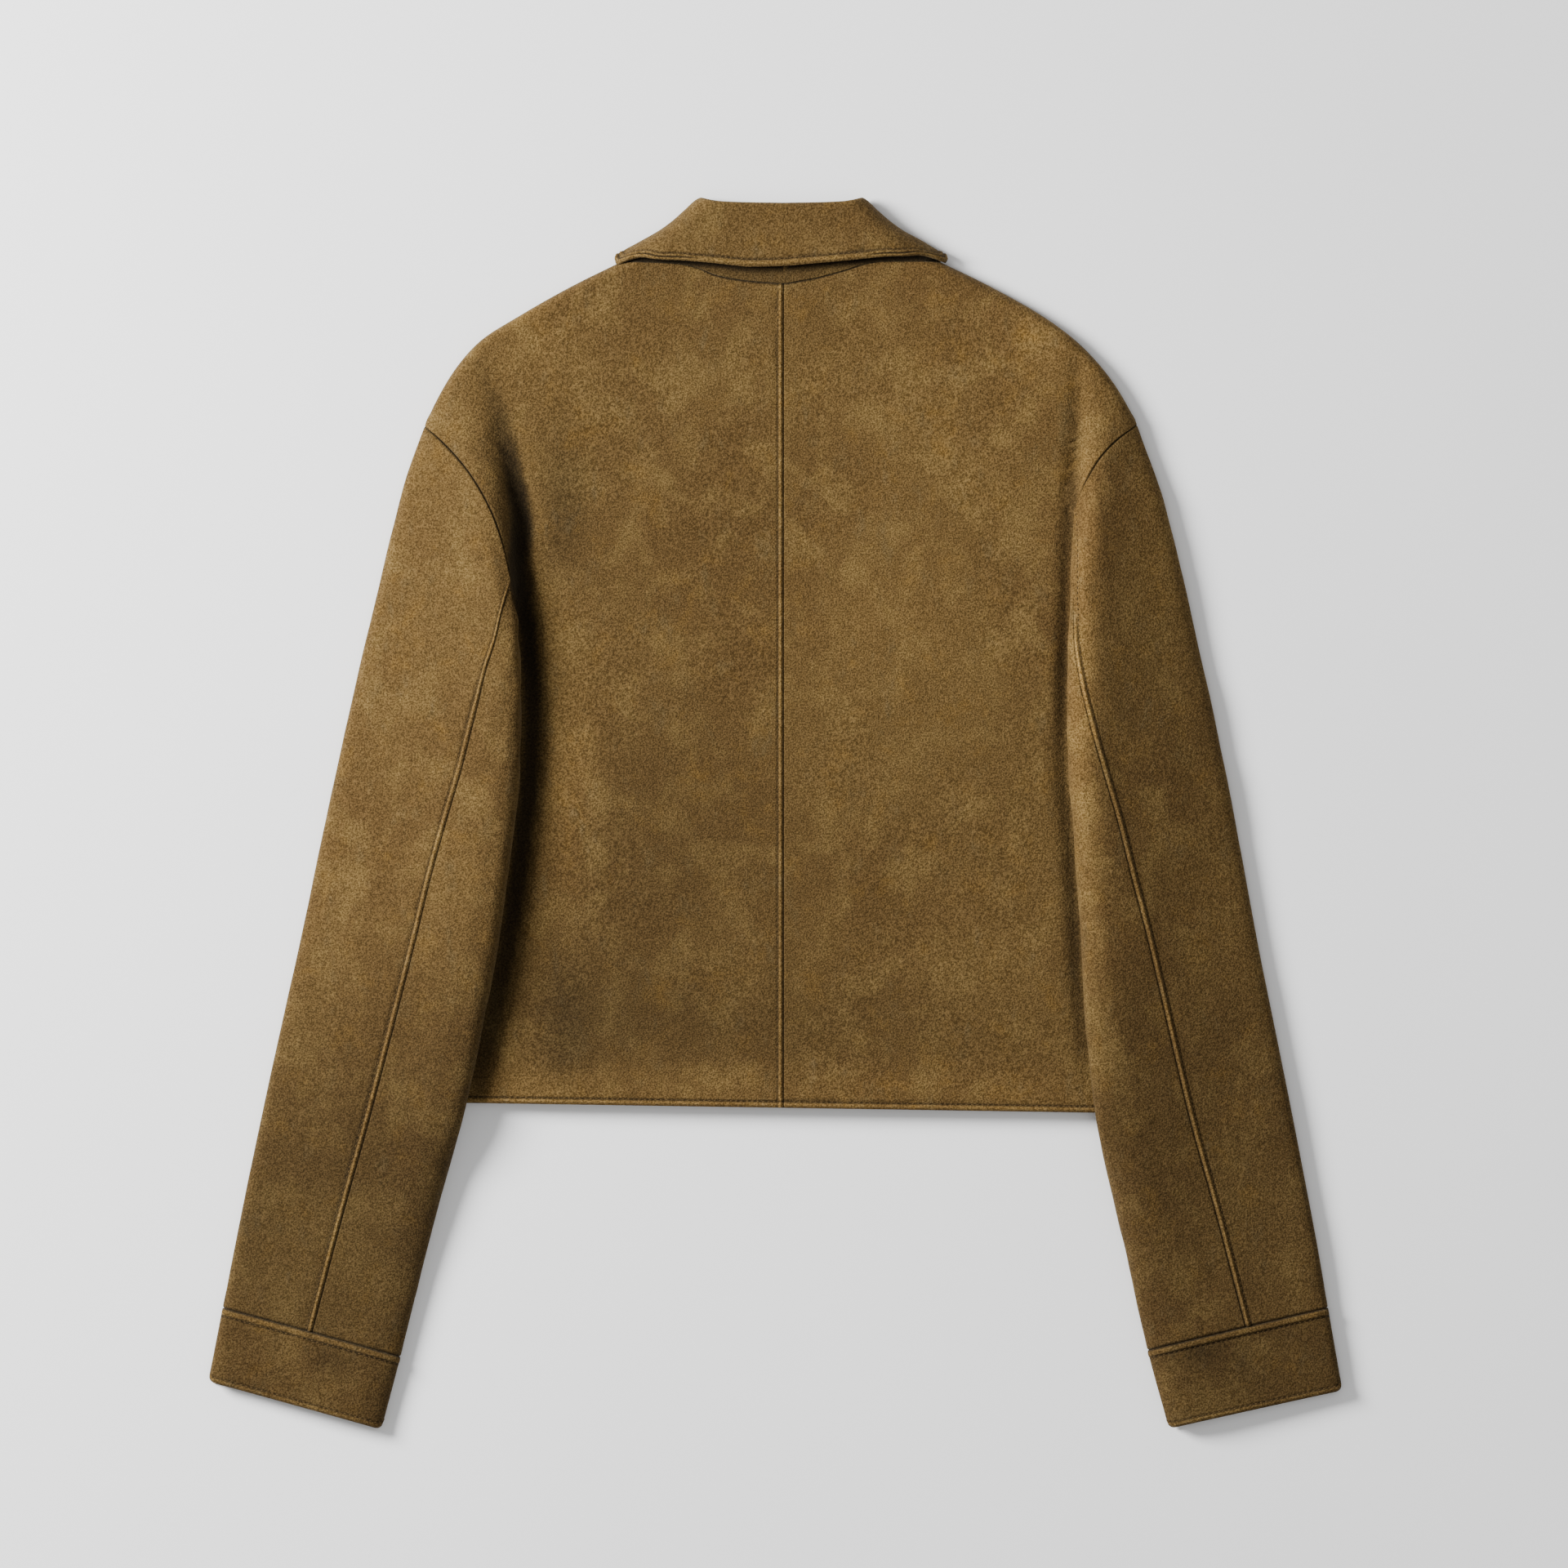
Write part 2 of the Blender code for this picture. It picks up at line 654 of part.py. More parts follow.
# the first whole ring, where it meets the back seam, and the underarm's column below it
UNDERARM_RING_Y = 37.0
RING_TILT = 10.0
SEAM_PLACE = 0.6
UNDERARM_CLEARANCE = 9.0
UNDERARM_FADE = 70.0
UNDERSIDE_MIDDLE = 1.5
# how far the sleeve's edge keeps off the panels, from the column before the underarm on
UNDERARM_SHIFTS = ((1.5, -3.0), (5.0, -5.0), (5.0, -0.5), (2.0, 0.0))
# how soon the columns from there on leave the front for the sleeve's own form
UNDERARM_SHARES = (1.0, 0.7, 0.35, 0.1)
# how far towards the next ring the hidden sheet starts inside the fold
FOLD_START = (0.45, 0.45, 0.45, 0.4, 0.3, 0.15)
# the sleeve's front seam, from its outer edge, and its rings down to the cuff
FRONT_SEAM_OUT = 8.0
ROW_LEVELS = (5.0, -30.0, -65.0, -100.0, -135.0, -160.0, -178.0, -194.0, -212.0, -238.0, -270.0)
CUFF_ROWS = 3


class Level:
    """One ring round the sleeve: its y at the outer and at the inner edge."""

    def __init__(self, outer_y, inner_y):
        self.outer_y = outer_y
        self.inner_y = inner_y

    def y_at(self, share):
        return mix(self.outer_y, self.inner_y, share)


def ring_targets(half, level):
    """Ring coordinates: 0 outer edge, 1 inner edge over the top, 2 outer edge again below."""
    outer, inner = half.outer_at(level.outer_y), half.inner_at(level.inner_y)
    width = outer - inner
    seam = float(half.seam_at(level.y_at(SEAM_PLACE)))
    turns = np.array(TURN_STEPS) / width
    top = np.concatenate([turns, np.linspace(turns[-1], seam, SEAM_COLUMNS + 1)[1:]])
    roll = 1.0 - (1.0 - seam) * np.array(ROLL_SHARES)
    under = 1.0 + np.array(ROLL_UNDER_STEPS) / width
    front_seam = 2.0 - FRONT_SEAM_OUT / width
    side_out = np.interp(-level.outer_y, -half.side_fold[:, 1], half.side_fold[:, 0])
    past_hem = smooth_step((HEM_Y - level.outer_y) / UNDERARM_FADE)
    underarm = mix(2.0 - (outer - side_out - UNDERARM_CLEARANCE) / width, UNDERSIDE_MIDDLE, past_hem)
    hidden = np.linspace(under[-1], underarm, len(HIDDEN_SHARES) - len(roll) - len(under) + 1)[1:]
    front = np.linspace(underarm, front_seam, FRONT_SEAM_STEPS + 1)[1:]
    return np.concatenate([top, roll, under, hidden, front, 2.0 - turns[:0:-1]])


def armhole_ring(half):
    """The armhole's points in ring order: their ring coordinates and y."""
    back = beside(half.armhole_back, seam_distances(half.armhole_back))
    hidden = along(half.armhole_hidden, length_of(half.armhole_hidden) * np.array(HIDDEN_SHARES))
    front = beside(half.armhole_front, front_distances(half.armhole_front))[1:-1][::-1]
    points = np.concatenate([back, hidden, front])
    points[UNDERARM_COLUMN - 1:UNDERARM_COLUMN - 1 + len(UNDERARM_SHIFTS)] += UNDERARM_SHIFTS
    share = half.share(points[:, 0], points[:, 1])
    below = np.arange(len(points)) >= len(back)
    return np.where(below, 2.0 - share, share), points[:, 1]


def sleeve_levels(half):
    """The rings from the underarm to the cuff's end."""
    seam, end = CUFF_SEAM[half.side], CUFF_END[half.side]
    tilt = seam[0] - seam[1]
    levels = [Level(UNDERARM_RING_Y, UNDERARM_RING_Y - RING_TILT)]
    for y in ROW_LEVELS:
        down = (UNDERARM_RING_Y - y) / (UNDERARM_RING_Y - seam[0])
        levels.append(Level(y, y - mix(RING_TILT, tilt, down)))
    for k in range(CUFF_ROWS + 1):
        levels.append(Level(mix(seam[0], end[0], k / CUFF_ROWS), mix(seam[1], end[1], k / CUFF_ROWS)))
    return levels


def sleeve_grid(half):
    """Ring coordinate and y of every point, rows from the armhole to the cuff's end."""
    start_ring, start_y = armhole_ring(half)
    levels = sleeve_levels(half)
    rings = [ring_targets(half, level) for level in levels]
    ys = [level.y_at(1.0 - np.abs(ring - 1.0)) for level, ring in zip(levels, rings)]
    shares = np.arange(UPPER_ROWS) / UPPER_ROWS
    ahead = np.arange(len(start_ring)) >= UNDERARM_COLUMN
    early = [np.where(ahead, 1.0 - (1.0 - share) ** 2, share) for share in shares]
    ring = np.array([mix(start_ring, rings[0], share) for share in early] + rings)
    y = np.array([mix(start_y, ys[0], share) for share in shares] + ys)
    seam = BACK_SEAM_COLUMN
    roll_end = seam + len(ROLL_SHARES)
    for r in range(1, UPPER_ROWS):
        old, new = ring[r, seam], float(half.seam_at(y[r, seam]))
        ring[r, 1:seam + 1] *= new / old
        past = ring[r, seam + 1:roll_end + 1]
        ring[r, seam + 1:roll_end + 1] = mix(new, past[-1], (past - old) / (past[-1] - old))
    return ring, y


BACK_SEAM_COLUMN = len(TURN_STEPS) + SEAM_COLUMNS - 1
UNDERARM_COLUMN = BACK_SEAM_COLUMN + len(HIDDEN_SHARES)
FRONT_SEAM_COLUMN = UNDERARM_COLUMN + FRONT_SEAM_STEPS


def sleeve_points(half):
    """Points of the sleeve and cuff's outer face, a closed ring in every row."""
    ring, y = sleeve_grid(half)
    out = mix(half.outer_at(y), half.inner_at(y), 1.0 - np.abs(ring - 1.0))
    rows, columns = ring.shape
    blend = smooth_step(np.arange(rows) / BLEND_ROWS)[:, None]
    inner = half.inner_at(y)
    middle = mix(half.shoulder_top(inner, y), half.roll_middle(y), blend)
    top = mix(half.shoulder_top(out, y), half.sleeve_top(out, y), blend)
    under = half.sleeve_under(out, y, middle)
    column = np.arange(columns)
    slow = (np.minimum(np.arange(rows) / UPPER_ROWS, 1.0) ** 3)[:, None]
    near = np.zeros(columns)
    near[UNDERARM_COLUMN:UNDERARM_COLUMN + len(UNDERARM_SHARES)] = UNDERARM_SHARES
    upper = np.arange(rows)[:, None] < UPPER_ROWS
    ramp = mix(half.body_under(out, y), under[UPPER_ROWS], np.maximum(near, slow))
    under = np.where(upper & (column >= UNDERARM_COLUMN), ramp, under)
    z = np.where(ring <= 1.0, top, under)
    stack = LAYER_GAP * np.clip((column - BACK_SEAM_COLUMN) / STACK_COLUMNS, 0.0, 1.0)
    hidden = slice(BACK_SEAM_COLUMN + 1, UNDERARM_COLUMN)
    z[0, :BACK_SEAM_COLUMN + 1] = half.body_top(out, y)[0, :BACK_SEAM_COLUMN + 1]
    z[0, hidden] = (half.body_free(out, y)[0] + stack)[hidden]
    return half.world(out, y, z), out, y


def sleeve(half):
    points, out, y = sleeve_points(half)
    normals = grid_normals(points, closed=True) * half.sign
    back = slice(1, BACK_SEAM_COLUMN)
    front = slice(UNDERARM_COLUMN + len(UNDERARM_SHARES), None)
    normals[0, back] = face_out(half.body_top, out[:1], y[:1], half.sign, True)[0, back]
    normals[0, front] = face_out(half.body_under, out[:1], y[:1], half.sign, False)[0, front]
    columns = points.shape[1]
    upper = [k % columns for k in range(FRONT_SEAM_COLUMN, columns + BACK_SEAM_COLUMN + 1)]
    under = list(range(BACK_SEAM_COLUMN, FRONT_SEAM_COLUMN + 1))
    cuff = len(points) - CUFF_ROWS - 1
    wall = np.full(points.shape[:2], WALL)
    wall[:THIN_ROWS, BACK_SEAM_COLUMN - 1:BACK_SEAM_COLUMN + len(FOLD_START)] = THIN_WALL
    wall[:THIN_ROWS, UNDERARM_COLUMN - 1:UNDERARM_COLUMN + len(UNDERARM_SHARES)] = THIN_WALL
    inside_fold = slice(BACK_SEAM_COLUMN, BACK_SEAM_COLUMN + len(FOLD_START))
    hidden, facing = points.copy(), normals.copy()
    start = np.array(FOLD_START)[:, None]
    hidden[0, inside_fold] = mix(points[0, inside_fold], points[1, inside_fold], start)
    facing[0, inside_fold] = mix(normals[0, inside_fold], normals[1, inside_fold], 2.0 * start)
    facing /= np.linalg.norm(facing, axis=2, keepdims=True)
    parts = (("sleeve_upper_", upper, points, normals), ("sleeve_under_", under, hidden, facing))
    for name, pick, grid, faces in parts:
        sheet(name + half.side, grid[:cuff + 1][:, pick], faces[:cuff + 1][:, pick], wall[:cuff + 1][:, pick],
              edges=("top", "bottom", "first", "last"), folded_rows=UPPER_ROWS)
    sheet("cuff_" + half.side, points[cuff:], normals[cuff:], WALL, edges=("top",), closed=True)


# ---- collar

STAND_ROWS = 3
STAND_START = 0.01
FALL_ROWS = 5
# the angles of the rows that carry the fall round over the stand's top edge
ROLL_TURNS = (40.0, 80.0, 115.0)


def neck_shares(half, back):
    """Shares of the half width along the neckline, the seam that the panel shares."""
    return panel_rows(half, back)[0][0] / half.neck[0]


def read_across(table, column, share):
    """A line across the neck, from a table whose first column is the share of the half width."""
    return through([row[0] for row in table], [row[column] for row in table], share)


def quarter_face(half, back, out, y):
    """Points and normals of the stand's outer face at plan positions."""
    height = half.body_top if back else half.body_under
    points = half.world(out, y, height(out, y))
    normals = face_out(height, out, y, half.sign, back)
    normals[:, -1] = horizontal_at_edge(half, out[:, -1:], y[:, -1:], normals[:, -1:].copy())[:, 0]
    return points, normals


def stand_quarter(half, back):
    share = neck_shares(half, back)
    neck_y = read_across(NECKLINE, half.column if back else 3, share)
    roll_y = read_across(COLLAR_ROLL, 1 if back else 2, share)
    y = mix(neck_y, roll_y, np.linspace(STAND_START, 1.0, STAND_ROWS + 1)[:, None])
    return quarter_face(half, back, share * half.collar_half_width(y), y)


def fall_quarter(half, back):
    share = neck_shares(half, back)
    edge_y = read_across(FALL_EDGE, half.column if back else 3, share)
    roll_y = read_across(COLLAR_ROLL, 1 if back else 2, share)
    up = (np.arange(FALL_ROWS + 1) / FALL_ROWS)[:, None]
    y = mix(edge_y, roll_y, up)
    base, normals = quarter_face(half, back, share * half.collar_half_width(y), y)
    lift = FALL_LIFT * (1.0 - up[..., None]) ** 2 if back else 0.0
    outer = base + normals * (LEAF_LIFT + lift)
    along_up = base[-1] - base[-2]
    along_up = along_up - normals[-1] * (along_up * normals[-1]).sum(axis=1, keepdims=True)
    along_up = along_up / np.linalg.norm(along_up, axis=1, keepdims=True)
    middle = base[-1] + normals[-1] * COLLAR_CLEARANCE / 2
    rows, turned = [outer], [normals]
    for angle in np.radians(ROLL_TURNS):
        facing = np.cos(angle) * normals[-1] + np.sin(angle) * along_up
        rows.append((middle + facing * (COLLAR_WALL + COLLAR_CLEARANCE / 2))[None])
        turned.append(facing[None])
    return np.concatenate(rows), np.concatenate(turned)


def round_the_neck(quarter):
    """Joins four quarters: front left, back left, back right, front right."""
    strips = []
    for side, reverse in (("left", True), ("right", False)):
        half = Half(side)
        back, front = quarter(half, True), quarter(half, False)
        strip = [np.concatenate([b, f[:, -3::-1]], axis=1) for b, f in zip(back, front)]
        strips.append([part[:, :0:-1] if reverse else part for part in strip])
    return [np.concatenate([left, right], axis=1) for left, right in zip(*strips)]


def collar():
    points, normals = round_the_neck(stand_quarter)
    sheet("collar_stand", points, normals, WALL, edges=("top", "bottom"))
    points, normals = round_the_neck(fall_quarter)
    sheet("collar_fall", points, normals, COLLAR_WALL, edges=("bottom",))


def main():
    for old in list(bpy.data.objects):
        bpy.data.objects.remove(old)
    for side in SIDES:
        half = Half(side)
        body_panel("back_" + side, half, back=True)
        body_panel("front_" + side, half, back=False)
        sleeve(half)
    collar()


main()
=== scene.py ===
"""A cropped suede jacket lying flat, back up, on a pale surface.

The shape functions work in millimetres: "out" is the distance out from the
centre-back line and "y" the height up the garment, for each half.
"""
import math

import bpy
import numpy as np
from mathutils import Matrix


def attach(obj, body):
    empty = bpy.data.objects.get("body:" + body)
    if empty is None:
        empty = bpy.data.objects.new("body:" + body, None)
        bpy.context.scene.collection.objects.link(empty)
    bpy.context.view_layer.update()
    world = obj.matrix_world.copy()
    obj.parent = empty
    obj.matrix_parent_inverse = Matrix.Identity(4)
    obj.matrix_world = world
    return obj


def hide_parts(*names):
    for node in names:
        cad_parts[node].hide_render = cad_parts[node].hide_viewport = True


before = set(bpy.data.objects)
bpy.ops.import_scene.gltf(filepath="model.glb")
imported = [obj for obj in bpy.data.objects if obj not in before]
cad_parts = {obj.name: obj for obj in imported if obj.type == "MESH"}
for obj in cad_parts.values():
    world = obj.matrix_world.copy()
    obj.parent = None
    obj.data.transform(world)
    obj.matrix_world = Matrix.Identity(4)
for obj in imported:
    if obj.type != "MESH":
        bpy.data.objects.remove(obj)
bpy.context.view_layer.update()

METRE = 0.001

# cloth: the suede, the suede where it is folded tight, and the collar's two layers
WALL = 1.6
THIN_WALL = 1.0
COLLAR_WALL = 2.4
# between two pieces at a seam, and between two layers
SEAM_GAP = 0.3
LAYER_GAP = 1.2

# where things are
CENTRE_BACK_X = 5.25
ORIGIN_Y = -0.3
HEM_Y = -180.5
HEM_TILT = -0.0156
OPENING_GAP = 1.0

# the body: its level at the centre back, how far it drops to its sides, its rounded edges
BODY_LEVEL = 13.0
BODY_CROWN = 1.5
BODY_HALF_WIDTH = 240.0
EDGE_RADIUS = 6.0
EDGE_MIDDLE = 5.8
EDGE_TOUCH = 0.12
SAME_DISTANCE = 1e-6
# how far apart a surface is read for its slope, and a path for its direction
SLOPE_STEP = 0.05
HALF_STEP = 0.5
SLEEVE_EDGE_LEVEL = 9.5

# the fronts rise a little over the collar's leaves
COLLAR_CLEARANCE = 0.8
LEAF_LIFT = COLLAR_WALL + COLLAR_CLEARANCE
LEAF_RAMP = 62.0
LEAF_MARGIN = 8.0
LEAF_OUT = 128.0
LEAF_SIDE_RAMP = 20.0

# the sleeve's rolled inner edge: how far the roll reaches above and below, and its middle
ROLL_TOP_REACH = 30.0
ROLL_UNDER_REACH = 9.0
ROLL_MIDDLE = 0.42

# the crease beside the sleeve: how far inside its inner edge, and how wide the rise from it
CREASE_INSIDE = {"left": 9.0, "right": 3.0}
FLANK_WIDTH = {"left": 17.0, "right": 20.0}
FLANK_WIDENING = 0.16
CREASE_SOFTNESS = 0.5
LEVELLING = 7.0
# how the shoulder's roll dies away upwards, and below the fold
ROLL_FADE_ABOVE = 12.0
ROLL_FADE_LENGTH = 60.0
FOLD_FADE_LENGTH = 26.0
# how the sleeve comes down off the body's side and hem
COVER_REACH = 22.0
HEM_LEDGE = 9.0
HEM_REACH = 34.0

# out and y of the garment's outer edge, from the neck to the cuff
OUTER_EDGE = (
    # place, left out, left y, right out, right y
    ("neck", 98.6, 338.0, 94.3, 338.0),
    ("shoulder", 130.0, 322.5, 126.0, 322.5),
    ("shoulder", 163.5, 303.5, 159.5, 303.5),
    ("shoulder", 186.0, 289.0, 179.5, 288.5),
    ("shoulder", 200.0, 273.5, 194.0, 273.5),
    ("shoulder", 209.5, 258.5, 205.0, 258.5),
    ("armhole", 219.5, 238.0, 216.0, 238.0),
    ("sleeve", 229.0, 213.5, 225.5, 213.5),
    ("sleeve", 237.0, 183.5, 234.0, 183.5),
    ("sleeve", 248.0, 138.5, 245.5, 138.5),
    ("sleeve", 265.5, 63.5, 262.5, 63.5),
    ("sleeve", 282.0, -11.5, 277.5, -11.5),
    ("sleeve", 298.0, -86.5, 291.5, -86.5),
    ("sleeve", 314.5, -161.5, 306.5, -161.5),
    ("sleeve", 333.5, -251.5, 324.0, -251.5),
    ("cuff", 352.5, -348.0, 342.0, -353.5),
    ("below the cuff", 359.5, -382.0, 347.0, -382.0),
)

# the collar's hollow slanting side, from above its top corner down to the shoulder
COLLAR_SIDE = (
    # y, left out, right out
    (392.0, 26.0, 24.0),
    (373.8, 50.5, 47.5),
    (368.8, 56.6, 53.1),
    (363.8, 61.4, 58.1),
    (353.3, 73.6, 70.3),
    (348.0, 81.0, 77.8),
    (343.0, 90.0, 87.7),
    (338.0, 98.6, 94.3),
)
COLLAR_SIDE_POINTS = 28

# the sleeve's inner edge, carried on upwards as the line of the shoulder's roll
INNER_EDGE = (
    # y, left out, right out
    (275.0, 191.0, 181.5),
    (236.5, 180.0, 180.5),
    (190.5, 170.5, 177.5),
    (146.0, 166.0, 175.0),
    (108.5, 162.0, 174.0),
    (68.5, 159.5, 173.0),
    (28.5, 161.0, 173.5),
    (-11.5, 165.0, 177.0),
    (-61.5, 171.5, 180.0),
    (-121.5, 182.5, 184.0),
    (-181.5, 195.5, 190.5),
    (-251.5, 214.0, 205.5),
    (-326.5, 233.0, 222.0),
    (-381.5, 247.5, 237.0),
)

# where the sleeve's back seam lies, as a share of the way from outer to inner edge
BACK_SEAM = (
    # y, left share, right share
    (186.0, 0.93, 0.95),
    (142.5, 0.93, 0.965),
    (118.5, 0.885, 0.965),
    (84.5, 0.773, 0.915),
    (21.0, 0.671, 0.761),
    (-35.0, 0.605, 0.676),
    (-97.0, 0.573, 0.593),
    (-316.5, 0.502, 0.454),
    (-381.5, 0.48, 0.42),
)

# the height that the sleeve's slope would reach at its inner edge
SLEEVE_RIDGE = (
    # y, height
    (275.0, 16.0),
    (236.0, 23.0),
    (190.0, 31.0),
    (142.0, 36.0),
    (68.0, 38.5),
    (-60.0, 38.5),
    (-120.0, 35.5),
    (-170.0, 30.0),
    (-215.0, 23.0),
    (-303.0, 16.0),
    (-382.0, 14.0),
)

# the armhole on the back, from the shoulder to the fold
ARMHOLE_BACK = (
    # left out, left y, right out, right y
    (219.8, 237.0, 216.0, 238.0),
    (207.5, 226.0, 205.5, 230.0),
    (192.5, 208.0, 195.5, 220.0),
    (180.0, 187.5, 187.5, 208.5),
    (172.0, 166.0, 181.5, 197.5),
    (166.5, 142.5, 177.0, 186.0),
)

# and on from the fold, under the sleeve, to the underarm
ARMHOLE_HIDDEN = (
    # left out, left y, right out, right y
    (166.5, 142.5, 177.0, 186.0),
    (171.5, 118.0, 180.5, 150.0),
    (186.5, 90.0, 189.5, 110.0),
    (210.5, 66.0, 209.5, 75.0),
    (238.0, 48.5, 238.0, 48.5),
)

# the armhole on the front, from the shoulder to the underarm
ARMHOLE_FRONT = (
    # left out, left y, right out, right y
    (219.8, 237.0, 216.0, 238.0),
    (213.5, 200.0, 209.5, 200.0),
    (213.0, 160.0, 209.0, 160.0),
    (218.0, 115.0, 215.0, 115.0),
    (226.5, 78.0, 225.0, 78.0),
    (238.0, 48.5, 238.0, 48.5),
)

# the body's side fold
SIDE_FOLD = (
    # left out, left y, right out, right y
    (238.0, 48.5, 238.0, 48.5),
    (235.5, -60.0, 236.0, -60.0),
    (236.0, -190.0, 237.0, -190.0),
)

# the neckline and the collar across the back and the front of the neck
NECKLINE = (
    # share of the half width, back left y, back right y, front y
    (0.0, 324.2, 324.2, 262.0),
    (0.2, 325.6, 327.4, 267.5),
    (0.4, 328.8, 332.4, 284.0),
    (0.62, 336.2, 337.8, 312.0),
    (1.0, 338.0, 338.0, 338.0),
)
COLLAR_ROLL = (
    # share of the half width, back y, front y
    (0.0, 371.0, 300.0),
    (0.3, 371.3, 314.0),
    (0.6, 372.0, 342.0),
    (0.85, 373.0, 365.0),
    (1.0, 373.8, 373.8),
)
# the fall's loose edge
FALL_EDGE = (
    # share of the half width, back left y, back right y, front y
    (0.0, 335.0, 335.0, 258.0),
    (0.2, 334.5, 337.3, 245.0),
    (0.4, 336.5, 339.8, 238.0),
    (0.52, 338.5, 341.6, 262.0),
    (0.65, 340.5, 343.5, 285.0),
    (0.85, 343.0, 345.7, 322.0),
    (0.94, 342.0, 343.5, 333.0),
    (1.0, 339.0, 339.0, 339.0),
)
FALL_LIFT = 3.5

# the cuff: its top seam and its end, at the sleeve's outer and inner edge
CUFF_SEAM = {"left": (-303.0, -333.0), "right": (-303.0, -329.0)}
CUFF_END = {"left": (-348.0, -377.5), "right": (-353.5, -377.0)}

# how far from an edge the columns of points lie where the cloth turns round
TURN_STEPS = (0.0, 0.9, 3.2, 6.5)
POINTS_PER_BEND = 12

# how each side counts out from the centre back, and where its pair of columns starts
SIDES = {"left": -1.0, "right": 1.0}
SIDE_COLUMN = {"left": 0, "right": 2}
# the fronts' column in the tables across the neck, after the left and the right back
FRONT_COLUMN = 3


def smooth_step(x):
    """0 below 0, 1 above 1 and a soft rise between."""
    x = np.clip(x, 0.0, 1.0)
    return x * x * (3.0 - 2.0 * x)


def rounded_rise(x):
    """A rise from a crease at 0 to a rounded top at 1."""
    x = np.clip(x, 0.0, 1.0)
    return mix(x * (2.0 - x), smooth_step(x), CREASE_SOFTNESS)


def mix(a, b, share):
    return a + (b - a) * share


def level_off(share):
    """Follows a share and levels off softly at 1."""
    return 1.0 - np.logaddexp(0.0, LEVELLING * (1.0 - share)) / LEVELLING


def through(xs, ys, at):
    """Smooth curves through rows of values at rising xs, that never overshoot them."""
    xs, ys, at = (np.asarray(values, float) for values in (xs, ys, at))
    rows = ys.reshape(len(xs), -1)
    step = np.diff(xs)[:, None]
    rise = np.diff(rows, axis=0) / step
    slope = np.zeros_like(rows)
    slope[0], slope[-1] = rise[0], rise[-1]
    a = 2 * step[1:] + step[:-1]
    b = step[1:] + 2 * step[:-1]
    turning = rise[:-1] * rise[1:] <= 0
    before = np.where(turning, 1.0, rise[:-1])
    after = np.where(turning, 1.0, rise[1:])
    slope[1:-1] = np.where(turning, 0.0, (a + b) / (a / before + b / after))
    place = np.clip(at, xs[0], xs[-1]).reshape(-1, 1)
    k = np.clip(np.searchsorted(xs, place[:, 0], side="right") - 1, 0, len(step) - 1)
    step = step[k]
    t = (place - xs[k, None]) / step
    curves = (
        (2 * t**3 - 3 * t**2 + 1) * rows[k]
        + (t**3 - 2 * t**2 + t) * step * slope[k]
        + (3 * t**2 - 2 * t**3) * rows[k + 1]
        + (t**3 - t**2) * step * slope[k + 1]
    )
    return curves.reshape(at.shape + ys.shape[1:])


def read_table(table, column, at):
    """A smooth curve through a table, whose first column rises or falls."""
    rows = np.array(sorted(table), float)
    return through(rows[:, 0], rows[:, column], at)


def run_lengths(points):
    """How far along a run each of its points is."""
    return np.concatenate([[0.0], np.cumsum(np.linalg.norm(np.diff(points, axis=0), axis=1))])


def read_along(length, values, at):
    """Reads values that stand beside the points of a run, at given distances along it."""
    return np.stack([np.interp(at, length, column) for column in values.T], axis=-1)


def path(points):
    """Many points of a smooth path through a few."""
    length = run_lengths(points)
    return through(length, points, np.linspace(0.0, length[-1], POINTS_PER_BEND * len(points)))


def along(line, distances):
    """Points of a path at the given distances from its start."""
    return read_along(run_lengths(line), line, distances)


def beside(line, distances):
    """Points along a seam, moved off it by the seam's gap to the sleeve's side."""
    step = along(line, distances + HALF_STEP) - along(line, distances - HALF_STEP)
    step /= np.hypot(*step.T)[:, None]
    away = np.stack([-step[:, 1], step[:, 0]], axis=1)
    return along(line, distances) + SEAM_GAP * away


def length_of(line):
    return run_lengths(line)[-1]


def runs_of(lines):
    """The straight runs of some paths: where each starts and where it leads."""
    return [(a, b - a) for line in lines for a, b in zip(line[:-1], line[1:])]


def distance_to_run(start, run, out, y):
    """Plan distance from points to one straight run."""
    x, up = out - start[0], y - start[1]
    share = np.clip((x * run[0] + up * run[1]) / (run @ run), 0.0, 1.0)
    return np.hypot(x - share * run[0], up - share * run[1])


def distance_to(lines, out, y):
    """Plan distance from points to the nearest of some paths."""
    best = np.full(np.shape(out), np.inf)
    for start, run in runs_of(lines):
        best = np.minimum(best, distance_to_run(start, run, out, y))
    return best


def turn(distance, reach):
    """0 at an edge, 1 a reach away from it, round between."""
    return np.sqrt(1.0 - (1.0 - np.clip(distance / reach, 0.0, 1.0)) ** 2)


